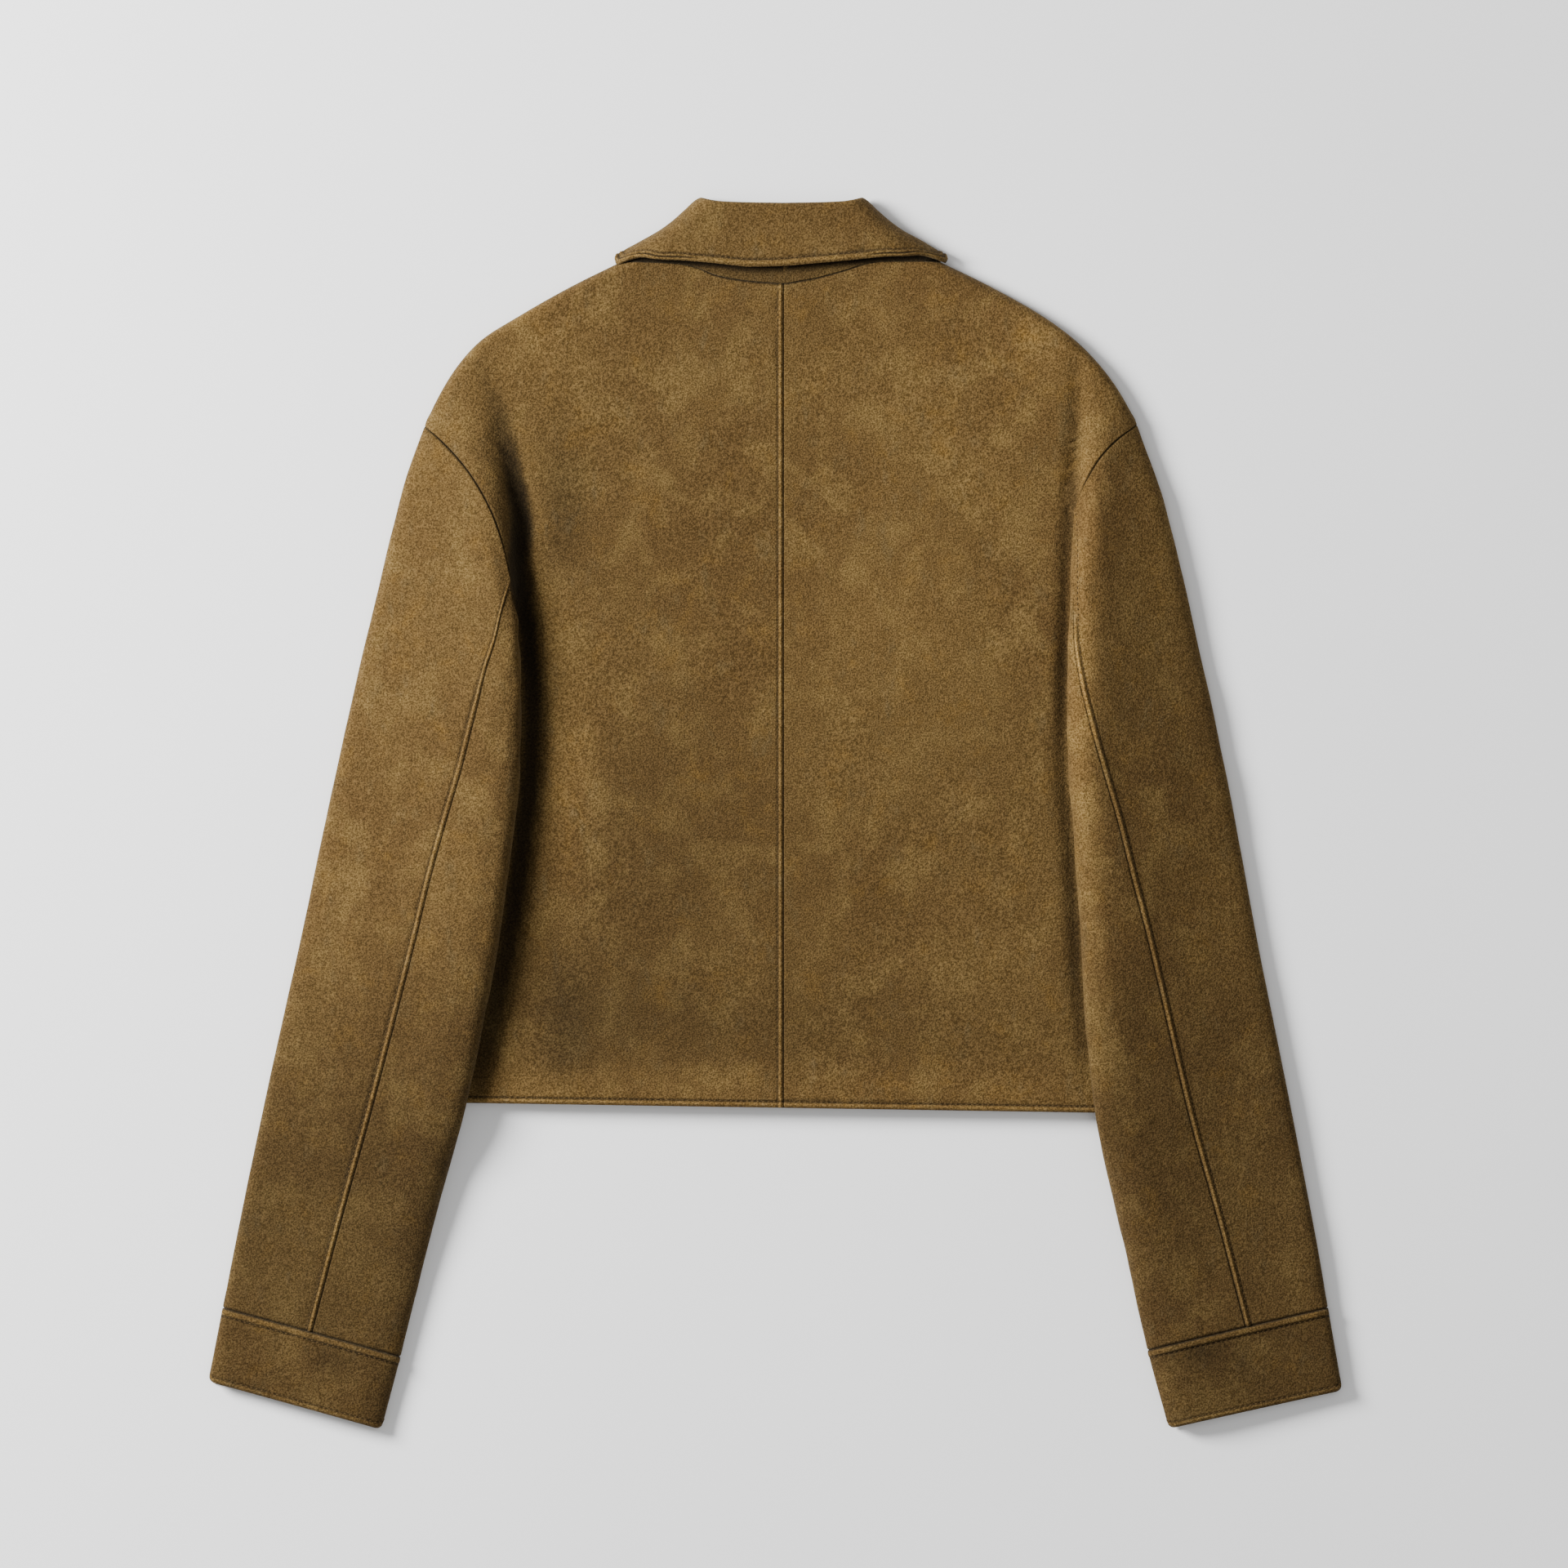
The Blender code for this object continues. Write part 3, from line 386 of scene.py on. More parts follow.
class Half:
    """One half of the jacket, measured out from the centre back."""

    def __init__(self, side):
        self.side = side
        self.sign = SIDES[side]
        pick = SIDE_COLUMN[side]
        # its column in the tables with one for each side, and in those with a third for both fronts
        self.column = 1 + pick // 2
        self.columns = {True: self.column, False: FRONT_COLUMN}

        def places(table):
            return np.array([row[-4:][pick:pick + 2] for row in table])

        self.outer = path(places(OUTER_EDGE))
        self.armhole_back = path(places(ARMHOLE_BACK))
        self.armhole_hidden = path(places(ARMHOLE_HIDDEN))
        self.armhole_front = path(places(ARMHOLE_FRONT))
        self.side_fold = path(places(SIDE_FOLD))
        self.fold_y = places(ARMHOLE_BACK)[-1, 1]
        self.neck = places(OUTER_EDGE)[0]
        side_y = np.linspace(COLLAR_SIDE[0][0], self.neck[1], COLLAR_SIDE_POINTS)
        self.collar_side = np.stack([self.collar_half_width(side_y), side_y], axis=1)
        self.edges = (self.collar_side, self.outer, self.side_fold)

    def outer_at(self, y):
        return np.interp(-np.asarray(y, float), -self.outer[:, 1], self.outer[:, 0])

    def inner_at(self, y):
        return read_table(INNER_EDGE, self.column, y)

    def collar_half_width(self, y):
        """How far out the collar's side is."""
        return read_table(COLLAR_SIDE, self.column, y)

    def seam_at(self, y):
        return read_table(BACK_SEAM, self.column, y)

    def hem_at(self, out):
        return HEM_Y + HEM_TILT * self.sign * out

    def share(self, out, y):
        """Share of the way from the sleeve's outer edge to its inner edge."""
        outer, inner = self.outer_at(y), self.inner_at(y)
        return (outer - out) / (outer - inner)

    # heights of the cloth's outer faces

    def body_free(self, out, y, folded=True):
        """The back panel's top face before it turns round its own edges."""
        level = BODY_LEVEL - BODY_CROWN * (out / BODY_HALF_WIDTH) ** 2
        slope = mix(SLEEVE_EDGE_LEVEL, read_table(SLEEVE_RIDGE, 1, y), level_off(self.share(out, y)))
        width = FLANK_WIDTH[self.side] + FLANK_WIDENING * np.maximum(y - self.fold_y, 0.0)
        flank = rounded_rise((out - self.inner_at(y) + CREASE_INSIDE[self.side]) / width)
        fade = smooth_step((INNER_EDGE[0][0] + ROLL_FADE_ABOVE - y) / ROLL_FADE_LENGTH)
        if folded:
            fade = fade * smooth_step((y - self.fold_y + FOLD_FADE_LENGTH) / FOLD_FADE_LENGTH)
        return level + (slope - level) * flank * fade

    def edge_turn(self, out, y):
        return turn(distance_to(self.edges, out, y), EDGE_RADIUS)

    def body_top(self, out, y):
        return mix(EDGE_MIDDLE, self.body_free(out, y), self.edge_turn(out, y))

    def shoulder_top(self, out, y):
        """The shoulder's rolled top face, carried on down over the sleeve."""
        return mix(EDGE_MIDDLE, self.body_free(out, y, folded=False), self.edge_turn(out, y))

    def leaf_lift(self, out, y):
        """The fronts rise a little where the collar's leaves lie under them."""
        low = read_table(FALL_EDGE, FRONT_COLUMN, out / self.neck[0])
        above = smooth_step((y - low + LEAF_RAMP) / (LEAF_RAMP - LEAF_MARGIN))
        return LEAF_LIFT * above * smooth_step((LEAF_OUT - out) / LEAF_SIDE_RAMP)

    def body_under(self, out, y):
        """The front panel's lower face."""
        return mix(EDGE_MIDDLE, self.leaf_lift(out, y), self.edge_turn(out, y))

    def cover(self, out, y):
        """The sleeve's lower face: on the body, and beyond it on the surface."""
        side_out = np.interp(-y, -self.side_fold[:, 1], self.side_fold[:, 0])
        past_side = np.where(out > side_out, distance_to((self.side_fold,), out, y), 0.0)
        past_hem = np.maximum(self.hem_at(out) - HEM_LEDGE - y, 0.0)
        on_body = smooth_step(1.0 - past_side / COVER_REACH) * smooth_step(1.0 - past_hem / HEM_REACH)
        return (self.body_free(out, y) + LAYER_GAP) * on_body

    def sleeve_top(self, out, y):
        slope = mix(SLEEVE_EDGE_LEVEL, read_table(SLEEVE_RIDGE, 1, y), self.share(out, y))
        rolled = mix(self.roll_middle(y), slope, turn(out - self.inner_at(y), ROLL_TOP_REACH))
        return mix(EDGE_MIDDLE, rolled, turn(distance_to((self.outer,), out, y), EDGE_RADIUS))

    def roll_middle(self, y):
        inner = self.inner_at(y)
        return mix(self.cover(inner, y), read_table(SLEEVE_RIDGE, 1, y), ROLL_MIDDLE)

    def sleeve_under(self, out, y, middle):
        rolled = mix(middle, self.cover(out, y), turn(out - self.inner_at(y), ROLL_UNDER_REACH))
        return mix(EDGE_MIDDLE, rolled, turn(distance_to((self.outer,), out, y), EDGE_RADIUS))

    def world(self, out, y, z):
        return np.stack([CENTRE_BACK_X + self.sign * out, y - ORIGIN_Y + 0.0 * out, z + 0.0 * out], axis=-1)


def face_out(height, out, y, sign, upward):
    """Unit normals of a height field, pointing up or down."""
    d_out = (height(out + SLOPE_STEP, y) - height(out - SLOPE_STEP, y)) / (2 * SLOPE_STEP)
    d_y = (height(out, y + SLOPE_STEP) - height(out, y - SLOPE_STEP)) / (2 * SLOPE_STEP)
    flip = 1.0 if upward else -1.0
    normal = np.stack([-sign * d_out * flip, -d_y * flip, np.full(np.shape(d_out), flip)], axis=-1)
    return normal / np.linalg.norm(normal, axis=-1, keepdims=True)


def ring_normals(points):
    """Normals of a grid whose rows are closed rings."""
    wide = np.concatenate([points[:, -1:], points, points[:, :1]], axis=1)
    normal = np.cross(wide[:, 2:] - wide[:, :-2], np.gradient(points, axis=0))
    return normal / np.linalg.norm(normal, axis=2, keepdims=True)


# ---- the body's panels

# rows of points along a panel's edge: shoulder, hidden armhole (shares of it), side
SHOULDER_ROWS = 18
HIDDEN_ROWS = (0.1, 0.22, 0.4, 0.6, 0.8, 0.92, 1.0)
SIDE_ROWS = 5
# points on the visible back armhole, and on the front one: its seam and the run to the underarm
SEAM_COLUMNS = 5
FRONT_SEAM_SHARE = 0.1
FRONT_SEAM_STEPS = 6
UNDERARM_NEAR = (30.0, 14.0, 6.0, 0.0)
# columns of a panel: near its outer edge, closer in a short row, and the even ones to the centre
PANEL_NEAR = (0.0, 0.9, 3.2, 6.5, 12.0, 18.0, 25.0, 34.0, 46.0)
SHORT_ROW = 90.0
PANEL_FAR = 5
# how the rows straighten down from the neckline
FRONT_CROWDING = 1.2
NECK_CURVE_SHARE = 0.35


def seam_distances(line):
    """Distances down the visible back armhole that sleeve and panel share."""
    even = np.linspace(TURN_STEPS[-1], length_of(line), SEAM_COLUMNS + 1)[1:]
    return np.concatenate([TURN_STEPS, even])


def front_distances(line):
    """Distances down the front armhole: round the edge, the front seam, the underarm."""
    whole = length_of(line)
    seam = FRONT_SEAM_SHARE * whole
    near = whole - np.array(UNDERARM_NEAR)
    even = np.linspace(seam, near[0], FRONT_SEAM_STEPS - len(near) + 2)[1:-1]
    return np.concatenate([TURN_STEPS, [seam], even, near])


def panel_edge(half, back):
    """Points of the panel's outer edge from the neck to the hem."""
    shoulder = half.outer
    start = np.argmin(np.hypot(*(shoulder - half.neck).T))
    stop = np.argmin(np.hypot(*(shoulder - half.armhole_back[0]).T))
    line = np.concatenate([[half.neck], shoulder[start + 1:stop], [half.armhole_back[0]]])
    points = [along(line, np.linspace(0.0, length_of(line), SHOULDER_ROWS + 1))[:-1]]
    if back:
        points.append(along(half.armhole_back, seam_distances(half.armhole_back)))
        hidden = half.armhole_hidden
        points.append(along(hidden, length_of(hidden) * np.array(HIDDEN_ROWS)))
    else:
        points.append(along(half.armhole_front, front_distances(half.armhole_front)))
    side = half.side_fold
    hem = side[:, 1] >= half.hem_at(side[:, 0])
    side = np.concatenate([side[hem], [[side[-1, 0], half.hem_at(side[-1, 0])]]])
    points.append(along(side, length_of(side) * np.linspace(0, 1, SIDE_ROWS + 1)[1:]))
    return np.concatenate(points)


def panel_rows(half, back):
    """Plan positions of a panel: each row runs from the centre to the outer edge."""
    edge = panel_edge(half, back)
    column = half.columns[back]
    neck_y = NECKLINE[0][column]
    fall = run_lengths(edge) / length_of(edge)
    centre_y = mix(neck_y, HEM_Y, fall ** (1.0 if back else FRONT_CROWDING))
    first = 0.0 if back else OPENING_GAP / 2
    rows_out, rows_y = [], []
    for k, (end_out, end_y) in enumerate(edge):
        near = np.array(PANEL_NEAR) * min(1.0, (end_out - first) / SHORT_ROW)
        far = np.linspace(first, end_out - near[-1], PANEL_FAR + 1)[:-1]
        out = np.concatenate([far, (end_out - near)[::-1]])
        share = (out - first) / (end_out - first)
        neck_line = read_table(NECKLINE, column, share)
        neck_share = (neck_line - neck_y) / (NECKLINE[-1][column] - neck_y)
        bend = mix(neck_share, share, smooth_step(fall[k] / NECK_CURVE_SHARE))
        rows_out.append(out)
        rows_y.append(mix(centre_y[k], end_y, bend))
    return np.array(rows_out), np.array(rows_y)


def horizontal_at_edge(half, out, y, normals):
    """Where the cloth turns right round an edge it faces straight outwards."""
    reach = distance_to(half.edges, out, y)
    for r, c in zip(*np.nonzero(reach < EDGE_TOUCH)):
        best = np.inf
        for start, run in runs_of(half.edges):
            gap = distance_to_run(start, run, out[r, c], y[r, c])
            if gap < best - SAME_DISTANCE:
                best = gap
                normals[r, c] = np.array([-half.sign * run[1], run[0], 0.0]) / np.hypot(*run)
    return normals


def body_panel(half, back):
    out, y = panel_rows(half, back)
    height = half.body_top if back else half.body_under
    points = half.world(out, y, height(out, y))
    return points, horizontal_at_edge(half, out, y, face_out(height, out, y, half.sign, back))


# ---- sleeves and cuffs

# rows from the armhole to the first whole ring, the tight ones, and those that take up the roll
UPPER_ROWS = 6
THIN_ROWS = 3
BLEND_ROWS = 2
# columns from the back seam to the inner edge (shares of the way), and on under it
ROLL_SHARES = (0.62, 0.36, 0.18, 0.06, 0.0)
ROLL_UNDER_STEPS = (1.3, 4.5, 9.0)
# where those columns start on the hidden armhole (shares of it)
HIDDEN_SHARES = (0.035, 0.07, 0.105, 0.14, 0.18, 0.22, 0.27, 0.35, 0.5, 0.75, 0.92, 1.0)
# the hidden armhole rises to lie on the panel within this many columns
STACK_COLUMNS = 2
# the first whole ring, where it meets the back seam, and the underarm's column below it
UNDERARM_RING_Y = 37.0
RING_TILT = 10.0
SEAM_PLACE = 0.6
UNDERARM_CLEARANCE = 9.0
UNDERARM_FADE = 70.0
UNDERSIDE_MIDDLE = 1.5
# how far the sleeve's edge keeps off the panels, from the column before the underarm on
UNDERARM_SHIFTS = ((1.5, -3.0), (5.0, -5.0), (5.0, -0.5), (2.0, 0.0))
# how soon the columns from there on leave the front for the sleeve's own form
UNDERARM_SHARES = (1.0, 0.7, 0.35, 0.1)
# how far towards the next ring the hidden sheet starts inside the fold
FOLD_START = (0.1, 0.1, 0.15, 0.2, 0.2, 0.1)
# and how much faster its normals turn
FOLD_TURN = 2.0
# the sleeve's front seam, from its outer edge, and its rings down to the cuff
FRONT_SEAM_OUT = 8.0
ROW_LEVELS = (5.0, -30.0, -65.0, -100.0, -135.0, -160.0, -178.0, -194.0, -212.0, -238.0, -270.0)
CUFF_ROWS = 3


class Level:
    """One ring round the sleeve: its y at the outer and at the inner edge."""

    def __init__(self, outer_y, inner_y):
        self.outer_y = outer_y
        self.inner_y = inner_y

    def y_at(self, share):
        return mix(self.outer_y, self.inner_y, share)


def ring_targets(half, level):
    """Ring coordinates: 0 outer edge, 1 inner edge over the top, 2 outer edge again below."""
    outer, inner = half.outer_at(level.outer_y), half.inner_at(level.inner_y)
    width = outer - inner
    seam = float(half.seam_at(level.y_at(SEAM_PLACE)))
    turns = np.array(TURN_STEPS) / width
    top = np.concatenate([turns, np.linspace(turns[-1], seam, SEAM_COLUMNS + 1)[1:]])
    roll = 1.0 - (1.0 - seam) * np.array(ROLL_SHARES)
    under = 1.0 + np.array(ROLL_UNDER_STEPS) / width
    front_seam = 2.0 - FRONT_SEAM_OUT / width
    side_out = np.interp(-level.outer_y, -half.side_fold[:, 1], half.side_fold[:, 0])
    past_hem = smooth_step((HEM_Y - level.outer_y) / UNDERARM_FADE)
    underarm = mix(2.0 - (outer - side_out - UNDERARM_CLEARANCE) / width, UNDERSIDE_MIDDLE, past_hem)
    hidden = np.linspace(under[-1], underarm, len(HIDDEN_SHARES) - len(roll) - len(under) + 1)[1:]
    front = np.linspace(underarm, front_seam, FRONT_SEAM_STEPS + 1)[1:]
    return np.concatenate([top, roll, under, hidden, front, 2.0 - turns[:0:-1]])


def armhole_ring(half):
    """The armhole's points in ring order: their ring coordinates and y."""
    back = beside(half.armhole_back, seam_distances(half.armhole_back))
    hidden = along(half.armhole_hidden, length_of(half.armhole_hidden) * np.array(HIDDEN_SHARES))
    front = beside(half.armhole_front, front_distances(half.armhole_front))[1:-1][::-1]
    points = np.concatenate([back, hidden, front])
    points[UNDERARM_COLUMN - 1:UNDERARM_COLUMN - 1 + len(UNDERARM_SHIFTS)] += UNDERARM_SHIFTS
    share = half.share(points[:, 0], points[:, 1])
    below = np.arange(len(points)) >= len(back)
    return np.where(below, 2.0 - share, share), points[:, 1]


def sleeve_levels(half):
    """The rings from the underarm to the cuff's end."""
    seam, end = CUFF_SEAM[half.side], CUFF_END[half.side]
    tilt = seam[0] - seam[1]
    levels = [Level(UNDERARM_RING_Y, UNDERARM_RING_Y - RING_TILT)]
    for y in ROW_LEVELS:
        down = (UNDERARM_RING_Y - y) / (UNDERARM_RING_Y - seam[0])
        levels.append(Level(y, y - mix(RING_TILT, tilt, down)))
    for k in range(CUFF_ROWS + 1):
        levels.append(Level(mix(seam[0], end[0], k / CUFF_ROWS), mix(seam[1], end[1], k / CUFF_ROWS)))
    return levels


def sleeve_grid(half):
    """Ring coordinate and y of every point, rows from the armhole to the cuff's end."""
    start_ring, start_y = armhole_ring(half)
    levels = sleeve_levels(half)
    rings = [ring_targets(half, level) for level in levels]
    ys = [level.y_at(1.0 - np.abs(ring - 1.0)) for level, ring in zip(levels, rings)]
    shares = np.arange(UPPER_ROWS) / UPPER_ROWS
    ahead = np.arange(len(start_ring)) >= UNDERARM_COLUMN
    early = [np.where(ahead, 1.0 - (1.0 - share) ** 2, share) for share in shares]
    ring = np.array([mix(start_ring, rings[0], share) for share in early] + rings)
    y = np.array([mix(start_y, ys[0], share) for share in shares] + ys)
    seam = BACK_SEAM_COLUMN
    roll_end = seam + len(ROLL_SHARES)
    for r in range(1, UPPER_ROWS):
        old, new = ring[r, seam], float(half.seam_at(y[r, seam]))
        ring[r, 1:seam + 1] *= new / old
        past = ring[r, seam + 1:roll_end + 1]
        ring[r, seam + 1:roll_end + 1] = mix(new, past[-1], (past - old) / (past[-1] - old))
    return ring, y


BACK_SEAM_COLUMN = len(TURN_STEPS) + SEAM_COLUMNS - 1
UNDERARM_COLUMN = BACK_SEAM_COLUMN + len(HIDDEN_SHARES)
FRONT_SEAM_COLUMN = UNDERARM_COLUMN + FRONT_SEAM_STEPS


def sleeve_points(half):
    """Points of the sleeve and cuff's outer face, a closed ring in every row."""
    ring, y = sleeve_grid(half)
    out = mix(half.outer_at(y), half.inner_at(y), 1.0 - np.abs(ring - 1.0))
    rows, columns = ring.shape
    blend = smooth_step(np.arange(rows) / BLEND_ROWS)[:, None]
    inner = half.inner_at(y)
    middle = mix(half.shoulder_top(inner, y), half.roll_middle(y), blend)
    top = mix(half.shoulder_top(out, y), half.sleeve_top(out, y), blend)
    under = half.sleeve_under(out, y, middle)
    column = np.arange(columns)
    slow = (np.minimum(np.arange(rows) / UPPER_ROWS, 1.0) ** 3)[:, None]
    near = np.zeros(columns)
    near[UNDERARM_COLUMN:UNDERARM_COLUMN + len(UNDERARM_SHARES)] = UNDERARM_SHARES
    upper = np.arange(rows)[:, None] < UPPER_ROWS
    ramp = mix(half.body_under(out, y), under[UPPER_ROWS], np.maximum(near, slow))
    under = np.where(upper & (column >= UNDERARM_COLUMN), ramp, under)
    z = np.where(ring <= 1.0, top, under)
    stack = LAYER_GAP * np.clip((column - BACK_SEAM_COLUMN) / STACK_COLUMNS, 0.0, 1.0)
    hidden = slice(BACK_SEAM_COLUMN + 1, UNDERARM_COLUMN)
    z[0, :BACK_SEAM_COLUMN + 1] = half.body_top(out, y)[0, :BACK_SEAM_COLUMN + 1]
    z[0, hidden] = (half.body_free(out, y)[0] + stack)[hidden]
    return half.world(out, y, z), out, y


def sleeve(half):
    """Points, normals and wall of the two sleeve pieces and the cuff."""
    points, out, y = sleeve_points(half)
    normals = ring_normals(points) * half.sign
    back = slice(1, BACK_SEAM_COLUMN)
    front = slice(UNDERARM_COLUMN + len(UNDERARM_SHARES), None)
    normals[0, back] = face_out(half.body_top, out[:1], y[:1], half.sign, True)[0, back]
    normals[0, front] = face_out(half.body_under, out[:1], y[:1], half.sign, False)[0, front]
    columns = points.shape[1]
    upper = [k % columns for k in range(FRONT_SEAM_COLUMN, columns + BACK_SEAM_COLUMN + 1)]
    under = list(range(BACK_SEAM_COLUMN, FRONT_SEAM_COLUMN + 1))
    last = len(points) - CUFF_ROWS
    wall = np.full(points.shape[:2], WALL)
    wall[:THIN_ROWS, BACK_SEAM_COLUMN - 1:BACK_SEAM_COLUMN + len(FOLD_START)] = THIN_WALL
    wall[:THIN_ROWS, UNDERARM_COLUMN - 1:UNDERARM_COLUMN + len(UNDERARM_SHARES)] = THIN_WALL
    inside_fold = slice(BACK_SEAM_COLUMN, BACK_SEAM_COLUMN + len(FOLD_START))
    hidden, facing = points.copy(), normals.copy()
    start = np.array(FOLD_START)[:, None]
    hidden[0, inside_fold] = mix(points[0, inside_fold], points[1, inside_fold], start)
    facing[0, inside_fold] = mix(normals[0, inside_fold], normals[1, inside_fold], FOLD_TURN * start)
    facing /= np.linalg.norm(facing, axis=2, keepdims=True)
    return {
        "sleeve_upper_": (points[:last, upper], normals[:last, upper], wall[:last, upper]),
        "sleeve_under_": (hidden[:last, under], facing[:last, under], wall[:last, under]),
        "cuff_": (points[last - 1:], normals[last - 1:], wall[last - 1:]),
    }


# ---- collar

STAND_ROWS = 3
STAND_START = 0.01
FALL_ROWS = 5
# the angles of the rows that carry the fall round over the stand's top edge
ROLL_TURNS = (40.0, 80.0, 115.0)


def neck_shares(half, back):
    """Shares of the half width along the neckline, the seam that the panel shares."""
    return panel_rows(half, back)[0][0] / half.neck[0]


def quarter_face(half, back, out, y):
    """Points and normals of the stand's outer face at plan positions."""
    height = half.body_top if back else half.body_under
    points = half.world(out, y, height(out, y))
    normals = face_out(height, out, y, half.sign, back)
    normals[:, -1] = horizontal_at_edge(half, out[:, -1:], y[:, -1:], normals[:, -1:].copy())[:, 0]
    return points, normals


def stand_quarter(half, back):
    share = neck_shares(half, back)
    neck_y = read_table(NECKLINE, half.columns[back], share)
    roll_y = read_table(COLLAR_ROLL, 1 if back else 2, share)
    y = mix(neck_y, roll_y, np.linspace(STAND_START, 1.0, STAND_ROWS + 1)[:, None])
    return quarter_face(half, back, share * half.collar_half_width(y), y)


def fall_quarter(half, back):
    share = neck_shares(half, back)
    edge_y = read_table(FALL_EDGE, half.columns[back], share)
    roll_y = read_table(COLLAR_ROLL, 1 if back else 2, share)
    up = (np.arange(FALL_ROWS + 1) / FALL_ROWS)[:, None]
    y = mix(edge_y, roll_y, up)
    base, normals = quarter_face(half, back, share * half.collar_half_width(y), y)
    lift = FALL_LIFT * (1.0 - up[..., None]) ** 2 if back else 0.0
    outer = base + normals * (LEAF_LIFT + lift)
    along_up = base[-1] - base[-2]
    along_up = along_up - normals[-1] * (along_up * normals[-1]).sum(axis=1, keepdims=True)
    along_up = along_up / np.linalg.norm(along_up, axis=1, keepdims=True)
    middle = base[-1] + normals[-1] * COLLAR_CLEARANCE / 2
    rows, turned = [outer], [normals]
    for angle in np.radians(ROLL_TURNS):
        facing = np.cos(angle) * normals[-1] + np.sin(angle) * along_up
        rows.append((middle + facing * (COLLAR_WALL + COLLAR_CLEARANCE / 2))[None])
        turned.append(facing[None])
    return np.concatenate(rows), np.concatenate(turned)


def round_the_neck(quarter):
    """Joins four quarters: front left, back left, back right, front right."""
    strips = []
    for side, reverse in (("left", True), ("right", False)):
        half = Half(side)
        back, front = quarter(half, True), quarter(half, False)
        strip = [np.concatenate([b, f[:, -3::-1]], axis=1) for b, f in zip(back, front)]
        strips.append([part[:, :0:-1] if reverse else part for part in strip])
    return [np.concatenate([left, right], axis=1) for left, right in zip(*strips)]


# ---- fine sheets

# how far apart a sheet's points are, how close near its edges, and how far that reaches
STEP = 2.8
EDGE_STEP = 0.55
SEAM_REACH = 6.5
# the shortest last step, as a share of the close ones, and the shortest gap between two rows
LAST_STEP = 0.3
SHORTEST_ROW = 1e-3
# how much of its thickness the suede may lose before its inner face gives way too
THINNING = 0.4


def spaced(xs, step, edge_step):
    """Places along a run that keep its knots, closer near its two ends."""
    places = []
    for start, stop in zip(xs[:-1], xs[1:]):
        place = start
        while place < stop - LAST_STEP * edge_step or place == start:
            places.append(place)
            near_end = min(place, xs[-1] - place) < SEAM_REACH
            place += edge_step if near_end else step
    return np.array(places + [xs[-1]])


def finer(grid, step, edge_step, closed=False):
    """More rows between the rows of a grid; closed joins the last row to the first."""
    if closed:
        grid = np.concatenate([grid[-2:], grid, grid[:3]])
    lengths = np.linalg.norm(np.diff(grid[..., :3], axis=0), axis=2).mean(axis=1)
    xs = np.concatenate([[0.0], np.cumsum(np.maximum(lengths, SHORTEST_ROW))])
    places = spaced(xs, step, edge_step)
    if closed:
        places = places[(places >= xs[2] - SAME_DISTANCE) & (places < xs[-3] - SAME_DISTANCE)]
    return through(xs, grid, places)


class Sheet:
    """A fine grid of one piece's outer face, with its distances to its own edges."""

    def __init__(self, points, normals, wall, step=STEP, edge_step=EDGE_STEP, closed=False):
        wall = np.broadcast_to(wall, points.shape[:2])[..., None]
        grid = finer(np.concatenate([points, normals, wall], axis=2), step, edge_step)
        across_step = step if closed else edge_step
        grid = finer(grid.transpose(1, 0, 2), step, across_step, closed).transpose(1, 0, 2)
        self.closed = closed
        self.points = grid[..., :3]
        self.normals = grid[..., 3:6] / np.linalg.norm(grid[..., 3:6], axis=2, keepdims=True)
        self.wall = grid[..., 6]
        self.relief = np.zeros(self.wall.shape)
        # how much painted shade darkens, and painted highlight lightens, each point's colour
        self.painted_light_and_shade = np.zeros(self.wall.shape)
        across = np.linalg.norm(np.diff(self.points, axis=1), axis=2)
        down = np.linalg.norm(np.diff(self.points, axis=0), axis=2)
        self.first = np.concatenate([np.zeros((len(across), 1)), np.cumsum(across, axis=1)], axis=1)
        self.top = np.concatenate([np.zeros((1, down.shape[1])), np.cumsum(down, axis=0)])
        self.last = self.first[:, -1:] - self.first
        self.bottom = self.top[-1:] - self.top

    def x(self):
        return self.points[..., 0]

    def y(self):
        return self.points[..., 1]

    def z(self):
        return self.points[..., 2]

    def plan(self, half):
        """Its points as distances out from the centre back and up the garment."""
        return half.sign * (self.x() - CENTRE_BACK_X), self.y() + ORIGIN_Y

    def outer(self):
        return self.points + self.normals * self.relief[..., None]

    def line(self, edge, distance, start=0.0):
        """Points and normals along a run at a distance from one edge."""
        reach, both = getattr(self, edge), np.concatenate([self.outer(), self.normals], axis=2)
        if edge in ("top", "bottom"):
            reach, both = reach.T, both.transpose(1, 0, 2)
        if edge in ("last", "bottom"):
            reach, both = reach[:, ::-1], both[:, ::-1]
        run = np.array([read_along(at, row, distance) for at, row in zip(reach, both)])
        run = run[run_lengths(run[:, :3]) >= start]
        return run[:, :3], run[:, 3:]


def make_mesh(name, points, faces, material, stands_for=None, tone=None):
    mesh = bpy.data.meshes.new(name)
    mesh.from_pydata((points * METRE).tolist(), [], faces)
    mesh.update()
    # the tone attribute carries the piece's painted light and shade into its colour
    if tone is not None:
        mesh.attributes.new("tone", "FLOAT", "POINT").data.foreach_set("value", tone)
    mesh.shade_smooth()
    mesh.materials.append(material)
    piece = bpy.data.objects.new(name, mesh)
    bpy.context.scene.collection.objects.link(piece)
    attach(piece, "root")
    if stands_for:
        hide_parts(stands_for)
    return piece


